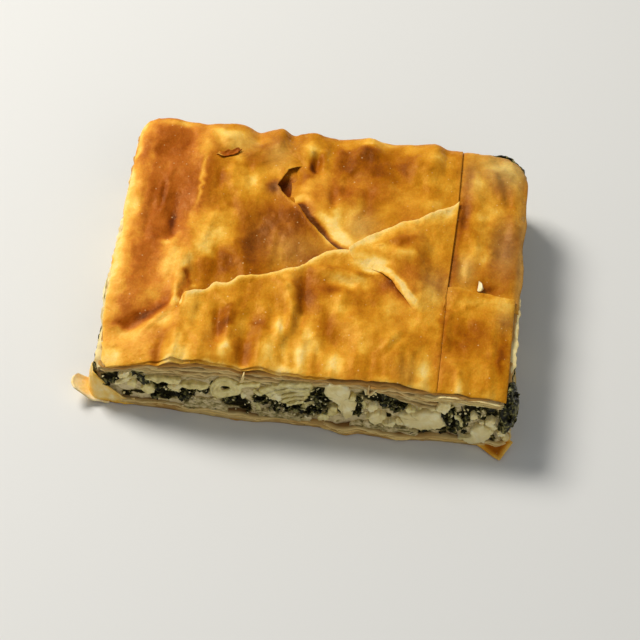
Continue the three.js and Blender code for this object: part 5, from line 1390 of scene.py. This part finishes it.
def scatter_tree(name, shapes, material):
    """Strews copies of a few shapes over a surface, each picked, turned, sized and sunk by chance."""
    tree, given = geometry_tree(name, {
        "Per square metre": 1.0, "Smallest": 1.0, "Largest": 1.5, "Tilt": 0.5, "Sink": 0.001, "Seed": 1,
    })
    cover = add_node(tree, "GeometryNodeInputNamedAttribute", {"Name": "density"}, data_type="FLOAT")
    density = add_node(tree, "ShaderNodeMath", {0: cover, 1: given["Per square metre"]},
                       operation="MULTIPLY")
    spread = add_node(tree, "GeometryNodeDistributePointsOnFaces", {
        "Mesh": given["Geometry"], "Density": density, "Seed": given["Seed"],
    })
    depth = add_node(tree, "FunctionNodeRandomValue", {2: -1.0, 3: 0.3, "Seed": given["Seed"]},
                     data_type="FLOAT").outputs[1]
    sunk = add_node(tree, "ShaderNodeMath", {0: depth, 1: given["Sink"]}, operation="MULTIPLY")
    inwards = add_node(tree, "ShaderNodeVectorMath", {0: spread.outputs["Normal"], "Scale": sunk},
                       operation="SCALE")
    placed = add_node(tree, "GeometryNodeSetPosition", {
        "Geometry": spread.outputs["Points"], "Offset": inwards,
    })
    joined = add_node(tree, "GeometryNodeJoinGeometry")
    for shape in shapes:
        info = add_node(tree, "GeometryNodeObjectInfo", {"Object": shape, "As Instance": True})
        tree.links.new(info.outputs["Geometry"], joined.inputs[0])
    pick = add_node(tree, "FunctionNodeRandomValue", {4: 0, 5: len(shapes) - 1, "Seed": given["Seed"]},
                    data_type="INT")
    lean = add_node(tree, "FunctionNodeRandomValue", {
        0: (-1, -1, -math.pi), 1: (1, 1, math.pi), "Seed": given["Seed"],
    }, data_type="FLOAT_VECTOR")
    both = add_node(tree, "ShaderNodeCombineXYZ", {
        "X": given["Tilt"], "Y": given["Tilt"], "Z": 1.0,
    })
    turn = add_node(tree, "ShaderNodeVectorMath", {0: lean, 1: both}, operation="MULTIPLY")
    turned = add_node(tree, "FunctionNodeRotateRotation", {
        "Rotation": spread.outputs["Rotation"],
        "Rotate By": add_node(tree, "FunctionNodeEulerToRotation", {0: turn}),
    }, rotation_space="LOCAL")
    size = add_node(tree, "FunctionNodeRandomValue", {
        2: given["Smallest"], 3: given["Largest"], "Seed": given["Seed"],
    }, data_type="FLOAT").outputs[1]
    strewn = add_node(tree, "GeometryNodeInstanceOnPoints", {
        "Points": placed, "Instance": joined, "Pick Instance": True,
        "Instance Index": pick.outputs[2], "Rotation": turned, "Scale": size,
    })
    end_tree(tree, strewn, material)
    return tree


def strewn(name, source, shapes, material, sizes):
    """Pieces scattered over a source mesh. The source and the shapes are removed."""
    piece = grown(source, scatter_tree(name + "_scatter", shapes, material), sizes, name)
    for shape in shapes:
        bpy.data.objects.remove(shape)
    return piece


def moved_points(piece, change):
    """Passes a piece's points, in millimetres, through a function."""
    flat = np.empty(len(piece.data.vertices) * 3, np.float32)
    piece.data.vertices.foreach_get("co", flat)
    points = change(flat.reshape(-1, 3).astype(float) / MM)
    piece.data.vertices.foreach_set("co", (points * MM).astype(np.float32).ravel())
    piece.data.update()
    return piece


def above_floor(piece, clearance):
    def lift(points):
        points[:, 2] = np.maximum(points[:, 2], clearance)
        return points

    return moved_points(piece, lift)


def pressed_to_cut(piece, proud, flatness):
    """Flattens what stands out of the cut, as the knife did, and keeps it between crust and floor."""
    def press(points):
        x, y, z = points.T
        down = 1 - z / TOP_HEIGHT
        for axis, half in enumerate(cut_half_sizes(down)):
            beyond = np.maximum(0, np.abs(points[:, axis]) - half - proud)
            points[:, axis] -= np.sign(points[:, axis]) * flatness * beyond
        points[:, 2] = np.clip(z, 0.3, under_crust(x, y, 1.5))
        return points

    return moved_points(piece, press)


def wilted_scrap(name, seed):
    """A scrap of wilted leaf about 6 mm long, crumpled into folds."""
    v, u = grid((-1, 1, 4), (-1, 1, 7))
    x, y = 3.1 * u * (1 - 0.2 * v * v), 2 * v * (1 - 0.35 * u * u)
    z = 1.5 * noise(x / 1.3, y / 1.3, seed) + 0.5 * noise(x / 0.7, y / 0.8, seed + 1)
    x = x + 0.6 * noise(y / 1.1, z, seed + 2)
    return sheet_solid(name, x, y, z, z - 0.4, {}, None)


def unit_ball(subdivisions):
    """Points and faces of a round ball of radius 1."""
    ball = bmesh.new()
    bmesh.ops.create_icosphere(ball, subdivisions=subdivisions, radius=1)
    points = np.array([v.co[:] for v in ball.verts])
    faces = [[v.index for v in f.verts] for f in ball.faces]
    ball.free()
    return points, faces


def broken(points, seed):
    """Points of a ball cut back to nine flat faces, as cheese breaks."""
    for k in range(9):
        facing = np.array([lattice(k, axis, seed) - 0.5 for axis in range(3)])
        facing /= np.linalg.norm(facing)
        beyond = np.maximum(0, points @ facing - 0.4 - 0.35 * lattice(k, 3, seed))
        points = points - beyond[:, None] * facing
    return points


def curd(name, seed):
    """A crumb of feta of radius 1 mm with broken faces."""
    points, faces = unit_ball(2)
    shift = 1.3 + 0.2 * noise3(points * 3 + seed, seed + 5)
    return make_object(name, broken(points, seed) * shift[:, None] * (1.25, 1, 0.8), faces)


def onion_sliver(name, seed):
    """A curved sliver of onion, 5 mm round."""
    v, u = grid((-1, 1, 3), (0, 1.9, 9))
    radius = 2.6 + 0.55 * v + 0.2 * noise(u * 3, v, seed)
    z = 0.3 * noise(u * 2, v, seed + 1) - 0.25 * v * v
    x, y = radius * np.cos(u) - 1.4, radius * np.sin(u) - 1.8
    return sheet_solid(name, x[:, ::-1], y[:, ::-1], z, z - 0.5, {}, None)


def joined(parts):
    """Several (points, faces) as one."""
    points, faces, start = [], [], 0
    for part_points, part_faces in parts:
        points.append(part_points)
        faces += [[index + start for index in face] for face in part_faces]
        start += len(part_points)
    return np.concatenate(points), faces


# The profile of a lump in the cut, from its middle out and round to the back, as (share of outline, share of
# depth)
LUMP_PROFILE = [
    (0.25, -1), (0.5, -1), (0.75, -0.95), (0.93, -0.85), (1, -0.3), (0.99, 0.2), (0.92, 0.8), (0.5, 1),
]


def lump_in_cut(outline, proud, depth, crumble, seed):
    """A lump with an outline on the front cut, nearly flat where the knife went through it."""
    ring = along(outline + outline[:1], np.linspace(0, 1, 61)[:-1])
    for size, reach in ((1.1, 0.45), (0.45, 0.22)):
        at = ring / size
        ring = ring + reach * crumble * np.stack([noise(at[:, 0], at[:, 1], seed + k) for k in (0, 1)], -1)
    middle = ring.mean(0)
    rings = []
    for share, back in LUMP_PROFILE:
        at = middle + (ring - middle) * share
        y = FRONT_FACE + (proud if back < 0 else depth) * back + 0 * at[:, 0]
        points = np.stack([at[:, 0], y, at[:, 1]], -1)
        rough = 0.34 * noise3(points / 1.5, seed + 2) + 0.2 * noise3(points / 0.7, seed + 5)
        points[:, 1] += crumble * rough
        rings.append(points)
    front = np.array([[middle[0], FRONT_FACE - proud, middle[1]]])
    back = np.array([[middle[0], FRONT_FACE + depth, middle[1]]])
    count = len(ring)
    here, there = np.arange(count), (np.arange(count) + 1) % count
    faces = [[0, 1 + b, 1 + a] for a, b in zip(here, there)]
    for k in range(len(rings) - 1):
        a, b = 1 + k * count, 1 + (k + 1) * count
        faces += np.stack([a + here, a + there, b + there, b + here], -1).tolist()
    last = 1 + (len(rings) - 1) * count
    tip = last + count
    faces += [[last + a, last + b, tip] for a, b in zip(here, there)]
    if np.sum(ring[:, 0] * np.roll(ring[:, 1], -1) - ring[:, 1] * np.roll(ring[:, 0], -1)) > 0:
        faces = [face[::-1] for face in faces]
    return np.concatenate([front, *rings, back]), faces


def lumps(name, outlines, proud, depth, crumble, seed, material):
    parts = [lump_in_cut(outline, proud, depth, crumble, seed + 11 * k) for k, outline in enumerate(outlines)]
    points, faces = joined(parts)
    ones = np.ones(len(points))
    facts = {"share": 0.3 * ones, "rim": ones, "greenness": 0.2 * ones}
    return make_object(name, points, faces, facts, material)


def onion_ring():
    """A slice of spring onion seen end on, with its hole."""
    count, around = 56, 36
    a = np.linspace(0, 2 * math.pi, count, endpoint=False)[:, None]
    b = np.linspace(0, 2 * math.pi, around, endpoint=False)[None, :]
    uneven = 1 + 0.12 * np.sin(2 * a + 0.7) + 0.08 * np.sin(3 * a + 2)
    radius = ONION_RING_RADIUS * uneven + ONION_RING_THICKNESS / 2 * uneven * np.cos(b)
    inner = bell(b - math.pi / 2 - 0.5, 0.16)
    outer = bell(b - math.pi / 2 + 0.5, 0.16)
    groove = 0.5 * inner + 0.4 * outer
    x = ONION_RING[0] + radius * np.cos(a) * 0.96
    z = ONION_RING[1] + radius * np.sin(a)
    y = FRONT_FACE + 0.8 - 1.2 * np.sin(b) * (1 + 0 * a) + groove + 0.25 * noise(x / 1.6, z / 1.6, 71)
    piece = ring_solid("onion_ring", np.stack([x, y, z], -1), {}, onion)
    return dress(piece, FILLING)


def rough_ball(name, centre, size, ridges, material, seed=None):
    """A ball pulled to size, with ridged folds. With a seed it is broken to flat faces first."""
    points, faces = unit_ball(5)
    points = broken(points, seed) * 1.25 if seed else points
    at = points * size
    fold = 1 - np.abs(noise3(at / 2.6, 81)) * 1.6
    shift = 1 + ridges * (0.5 * fold + 0.25 * noise3(at / 1.2, 84) - 0.25)
    piece = make_object(name, at * shift[:, None] + centre, faces, {}, material)
    return dress(above_floor(piece, 0.4), FILLING)


def spinach_pieces():
    shapes = [wilted_scrap(f"scrap_{k}", 90 + 3 * k) for k in range(5)]
    sizes = {"Per square metre": 3.4e5, "Smallest": 0.25, "Largest": 0.66, "Tilt": 1.5, "Sink": 1.4 * MM,
             "Seed": 4}
    source = wall_source("spinach_source", -0.3, spinach_cover)
    piece = strewn("spinach_leaves", source, shapes, spinach, sizes)
    return dress(pressed_to_cut(piece, 0.5, 0.65), FILLING)


def feta_pieces():
    def density(x, y, z):
        bare = 1 - spinach_cover(x, y, z)
        return (0.15 + 0.85 * bare) * smooth(3.4, 5, z) * mix(1, 0.1, smooth(-50, -52.6, y))

    shapes = [curd(f"curd_{k}", 120 + 7 * k) for k in range(5)]
    sizes = {"Per square metre": 9e4, "Smallest": 0.25, "Largest": 2.0, "Tilt": 1.5, "Sink": 1.3 * MM,
             "Seed": 5}
    piece = strewn("feta_crumbs", wall_source("feta_source", -0.6, density), shapes, feta, sizes)
    shade(piece.data, False)
    return dress(pressed_to_cut(piece, 0.1, 0.85), FILLING)


def feta_flecks():
    """Small crumbs of cheese that cling to the spinach."""
    def density(x, y, z):
        return (0.35 + 0.65 * spinach_cover(x, y, z)) * smooth(2.5, 4, z)

    shapes = [curd(f"fleck_{k}", 180 + 7 * k) for k in range(4)]
    sizes = {"Per square metre": 1.5e5, "Smallest": 0.1, "Largest": 0.45, "Tilt": 1.5, "Sink": 0.9 * MM,
             "Seed": 9}
    piece = strewn("feta_flecks", wall_source("fleck_source", 0.1, density), shapes, feta, sizes)
    shade(piece.data, False)
    return dress(pressed_to_cut(piece, 0.6, 0.7), FILLING)


def onion_pieces():
    shapes = [onion_sliver(f"sliver_{k}", 140 + 5 * k) for k in range(3)]
    sizes = {"Per square metre": 1.4e4, "Smallest": 0.6, "Largest": 1.1, "Tilt": 0.8, "Sink": 0.8 * MM,
             "Seed": 6}
    source = wall_source("onion_source", -0.4, lambda x, y, z: smooth(4, 6, z) + 0 * x)
    piece = strewn("onion_slivers", source, shapes, onion, sizes)
    return dress(pressed_to_cut(piece, 0.2, 0.8), FILLING)


def corner_spinach():
    """Leaves on the wad at the front right corner, and those squeezed out at the back right one."""
    points, faces = unit_ball(3)
    wad = points * CORNER_CLUMP_SIZE + CORNER_CLUMP
    path = along(BACK_RIM, np.linspace(0, 1, 24))
    rim = np.stack([np.stack([path[:, 0], path[:, 1], 19.8 + k * 1.2 + 0 * path[:, 0]], -1) for k in (0, 1)])
    strip = (rim.reshape(-1, 3), grid_faces(2, len(path), 0, True))
    points, faces = joined([(wad, faces), strip])
    source = make_object("corner_source", points, faces, {"density": np.ones(len(points))})
    shapes = [wilted_scrap(f"corner_scrap_{k}", 160 + 3 * k) for k in range(4)]
    sizes = {"Per square metre": 3e5, "Smallest": 0.2, "Largest": 0.42, "Tilt": 0.6, "Sink": 0.8 * MM,
             "Seed": 7}
    piece = strewn("corner_spinach", source, shapes, spinach, sizes)
    return dress(above_floor(piece, 0.4), FILLING)


def back_rim_leaf():
    """A fold of spinach squeezed out along the back right corner, just past the crust."""
    t, s = grid((0, 1, 11), (0, 1, 60))
    path = along(BACK_RIM, s)
    thin = np.minimum(1, 4 * np.minimum(s, 1 - s))
    lean = 0.4 + 0.9 * t * thin + 0.35 * noise(s * 14, t * 2, 85) + 0.2 * noise(s * 30, t * 3, 86)
    outward = np.array([0.6, 0.8])
    x, y = path[..., 0] + (lean - 0.5) * outward[0], path[..., 1] + (lean - 0.5) * outward[1]
    z = 16 + (6.2 + 0.5 * noise(s * 12, 0.5, 87)) * t * (0.7 + 0.3 * thin)
    return dress(vertical_sheet("back_rim_leaf", x, y, z, 0.5, {}, spinach), FILLING)


# ---- Bottom crust ----
FRONT_BULGES = [(-20, 8, 1.8), (14.5, 4, 2.8), (30, 9, 2.0)]  # (x, half width, outwards)
TAB_ROOT = (-60, -50.6)
TAB_REACH = 12
TAB_WIDTH = 8
TAB_LIFT = 5.4
FLAP = [(55.6, -53.4), (63.8, -59.2), (67.4, -52.4), (62, -48)]


def front_bulge(x, y):
    out = sum(reach * bell(x - at, half) for at, half, reach in FRONT_BULGES)
    return out * smooth(-48, -52, y)


def bottom_top(x, y):
    return BOTTOM_THICKNESS + 0.5 * noise(x / 9, y / 9, 17) + 0.3 * noise(x / 3, y / 3, 18)


def bottom_core():
    """The bottom leaves where they lie pressed together."""
    v, u = grid((-1, 1, cells(DEPTH) // 2), (-1, 1, cells(LENGTH) // 2))
    x, y = cut_plan(u, v, 1.0)
    y = y - front_bulge(x, y) * 0.7
    # rim of 0.7 gives the whole core part of the painted shade between the leaves.
    facts = {"share": 0.45 + 0.2 * noise(x / 8, y / 8, 19), "rim": 0.7 + 0 * x}
    piece = sheet_solid("bottom_core", x, y, bottom_top(x, y) - 0.3, 0 * x, facts, bottom_leaf)
    return dress(piece, BOTTOM_CRUST)


def curled_tab():
    """A tongue of bottom leaf at the front left that curls up as it leaves the piece."""
    v, u = grid((-1, 1, 21), (0, 1, 25))
    width = TAB_WIDTH / 2 * (1.1 - 0.35 * u**2)
    x = TAB_ROOT[0] - TAB_REACH * u * (1 - 0.12 * v * v * u)
    y = TAB_ROOT[1] + width * v - 1.6 * u + 0.3 * noise(u * 5, v * 2, 24)
    z = 1.2 + TAB_LIFT * u**2.2 * (1 - 0.25 * v * v) + 1.2 * v * v * u + 0.25 * noise(u * 4, v * 3, 25)
    worn = np.maximum(smooth(0.5, 0.95, np.abs(v)), smooth(0.6, 0.92, u))
    facts = {"browning_and_painted_light": mix(0.1, 0.0, worn)[:, ::-1], "ruddiness": 0 * x}
    x, y, z = x[:, ::-1], y[:, ::-1], z[:, ::-1]
    piece = sheet_solid("curled_tab", x, y, z, z - 0.8, facts, browned)
    return dress(above_floor(piece, 0.05), BOTTOM_CRUST)


def turned_up_leaf():
    """A bottom leaf that lies up against the front left corner, thin enough to glow."""
    ring, outward = cut_ring(CUT_PLACES, 0.85)
    start = np.argmin(np.hypot(ring[:, 0] + HALF_LENGTH, ring[:, 1] + 46))
    end = np.argmin(np.hypot(ring[:, 0] + 51, ring[:, 1] + HALF_DEPTH))
    picked = np.arange(start, start + (end - start) % len(ring)) % len(ring)
    t, s = grid((0, 1, 21), (0, 1, len(picked)))
    base, out = ring[picked], outward[picked]
    height = 1.4 + 10.6 * (1 - smooth(0.25, 0.95, s)) * smooth(-0.2, 0.25, s) + 0.9 * noise(s * 6, 0.5, 28)
    height = height + 0.6 * noise(s * 19, 0.5, 49)
    z = 0.8 + height * t
    stand = 0.8 + 0.4 * noise(s * 7, t * 3, 29) + 0.25 * noise(s * 17 + t * 3, t * 2, 48) - 0.9 * t
    stand = stand - 0.6 * smooth(0.8, 1, s)
    x, y = base[None, :, 0] + out[None, :, 0] * stand, base[None, :, 1] + out[None, :, 1] * stand
    facts = {"browning_and_painted_light": 0.13 + 0.1 * smooth(0.3, 0, t) + 0.1 * noise(s * 12, t * 4, 30), "ruddiness": 0 * x}
    piece = vertical_sheet("turned_up_leaf", x, y, z, 0.3, facts, browned)
    return dress(above_floor(piece, 0.1), BOTTOM_CRUST)


def corner_flap():
    """A corner of the lowest leaf that pokes out at the front right, baked darker."""
    t, s = grid((0, 1, 19), (0, 1, 19))
    a, b, c, d = [np.array(point, float) for point in FLAP]
    flat = (
        a * ((1 - s) * (1 - t))[..., None] + b * (s * (1 - t))[..., None] + c * (s * t)[..., None]
        + d * ((1 - s) * t)[..., None]
    )
    x, y = flat[..., 0], flat[..., 1]
    z = 1.5 + 0.5 * noise(x / 3, y / 3, 26) - 0.7 * smooth(-53, -59, y) + 0.9 * smooth(62, 67, x)
    pale = np.maximum(smooth(0.3, 0.48, np.abs(s - 0.5)), smooth(0.3, 0.48, np.abs(t - 0.5)))
    facts = {"browning_and_painted_light": 0.56 - 0.3 * pale + 0.12 * noise(x / 3, y / 3, 27), "ruddiness": 0.6 + 0 * x}
    piece = sheet_solid("corner_flap", x, y, z, z - 0.7, facts, browned)
    return dress(above_floor(piece, 0.05), BOTTOM_CRUST)


stack_edges()
for number, (lower, start, reach) in enumerate(FRONT_MARGINS):
    front_margin(f"front_pale_leaf_{number + 1}", lower, start, reach, 520 + 10 * number)
pale_margin("right_pale_margin", 1, -42, -7, 1.5, 500)
pale_margin("left_pale_margin", -1, -52, 8, 1.1, 510)
filling_core()
spinach_pieces()
feta_pieces()
feta_flecks()
onion_pieces()
dress(lumps("feta_chunks", FRONT_FETA, 0.8, 4, 1.2, 200, feta), FILLING)
dress(lumps("onion_chunks", FRONT_ONION, 0.6, 3, 0.8, 300, onion), FILLING)
dress(lumps("filling_folds", FRONT_FOLDS, 0.2, 4, 1.6, 600, custard), FILLING)
dress(lumps("leaf_slivers", FRONT_SLIVERS, 0.9, 1.2, 0.3, 400, stack_leaf), TOP_CRUST)
onion_ring()
rough_ball("left_curd", LEFT_CURD, LEFT_CURD_SIZE, 0.18, feta, 3)
rough_ball("top_crumb", TOP_CRUMB, TOP_CRUMB_SIZE, 0.4, feta, 8)
rough_ball("corner_clump", CORNER_CLUMP, CORNER_CLUMP_SIZE, 0.3, spinach)
corner_spinach()
back_rim_leaf()
bottom_core()
bottom_edges()
curled_tab()
turned_up_leaf()
corner_flap()


# ---- Camera, light and floor ----
CAMERA = {
    "place": Vector((15.03, -559.03, 603.47)),
    "right": Vector((0.99280, 0.09803, 0.06878)),
    "up": Vector((-0.11876, 0.73247, 0.67036)),
    "lens": 140.6,
}


def make_camera():
    data = bpy.data.cameras.new("camera")
    data.lens = CAMERA["lens"]
    data.sensor_width = 36
    data.clip_start, data.clip_end = 0.05, 10
    camera = in_scene("camera", data)
    right, up = CAMERA["right"].normalized(), CAMERA["up"].normalized()
    turn = Matrix((right, up, right.cross(up))).transposed()
    camera.matrix_world = Matrix.Translation(CAMERA["place"] * MM) @ turn.to_4x4()
    bpy.context.scene.camera = camera


def area_light(name, place, size, power, tint="#ffffff"):
    data = bpy.data.lights.new(name, "AREA")
    data.size = size
    data.energy = power
    data.color = colour(tint)[:3]
    light = in_scene(name, data)
    light.location = place
    light.rotation_euler = (Vector((0, 0, 0.01)) - Vector(place)).to_track_quat("-Z", "Y").to_euler()


FLOOR_REACH = 3000


def make_stage():
    corners = [(x * FLOOR_REACH, y * FLOOR_REACH, 0) for x, y in ((-1, -1), (1, -1), (1, 1), (-1, 1))]
    floor = make_object("floor", corners, [[0, 1, 2, 3]])
    material, tree, shader, _ = new_material("pale_floor")
    set_inputs(tree, shader, {"Base Color": colour("#dadcdb"), "Roughness": 0.6})
    floor.data.materials.append(material)
    world = bpy.data.worlds.new("studio")
    bpy.context.scene.world = world
    world.use_nodes = True
    background = world.node_tree.nodes["Background"]
    set_inputs(world.node_tree, background, {"Color": colour("#f2f2f0"), "Strength": 0.27})
    area_light("key", (-0.72, 0.5, 0.96), 0.5, 18.5, "#fff9f1")
    area_light("fill", (0.5, -0.9, 0.7), 0.9, 1.8)
    bpy.context.scene.view_settings.view_transform = "Standard"


make_camera()
make_stage()
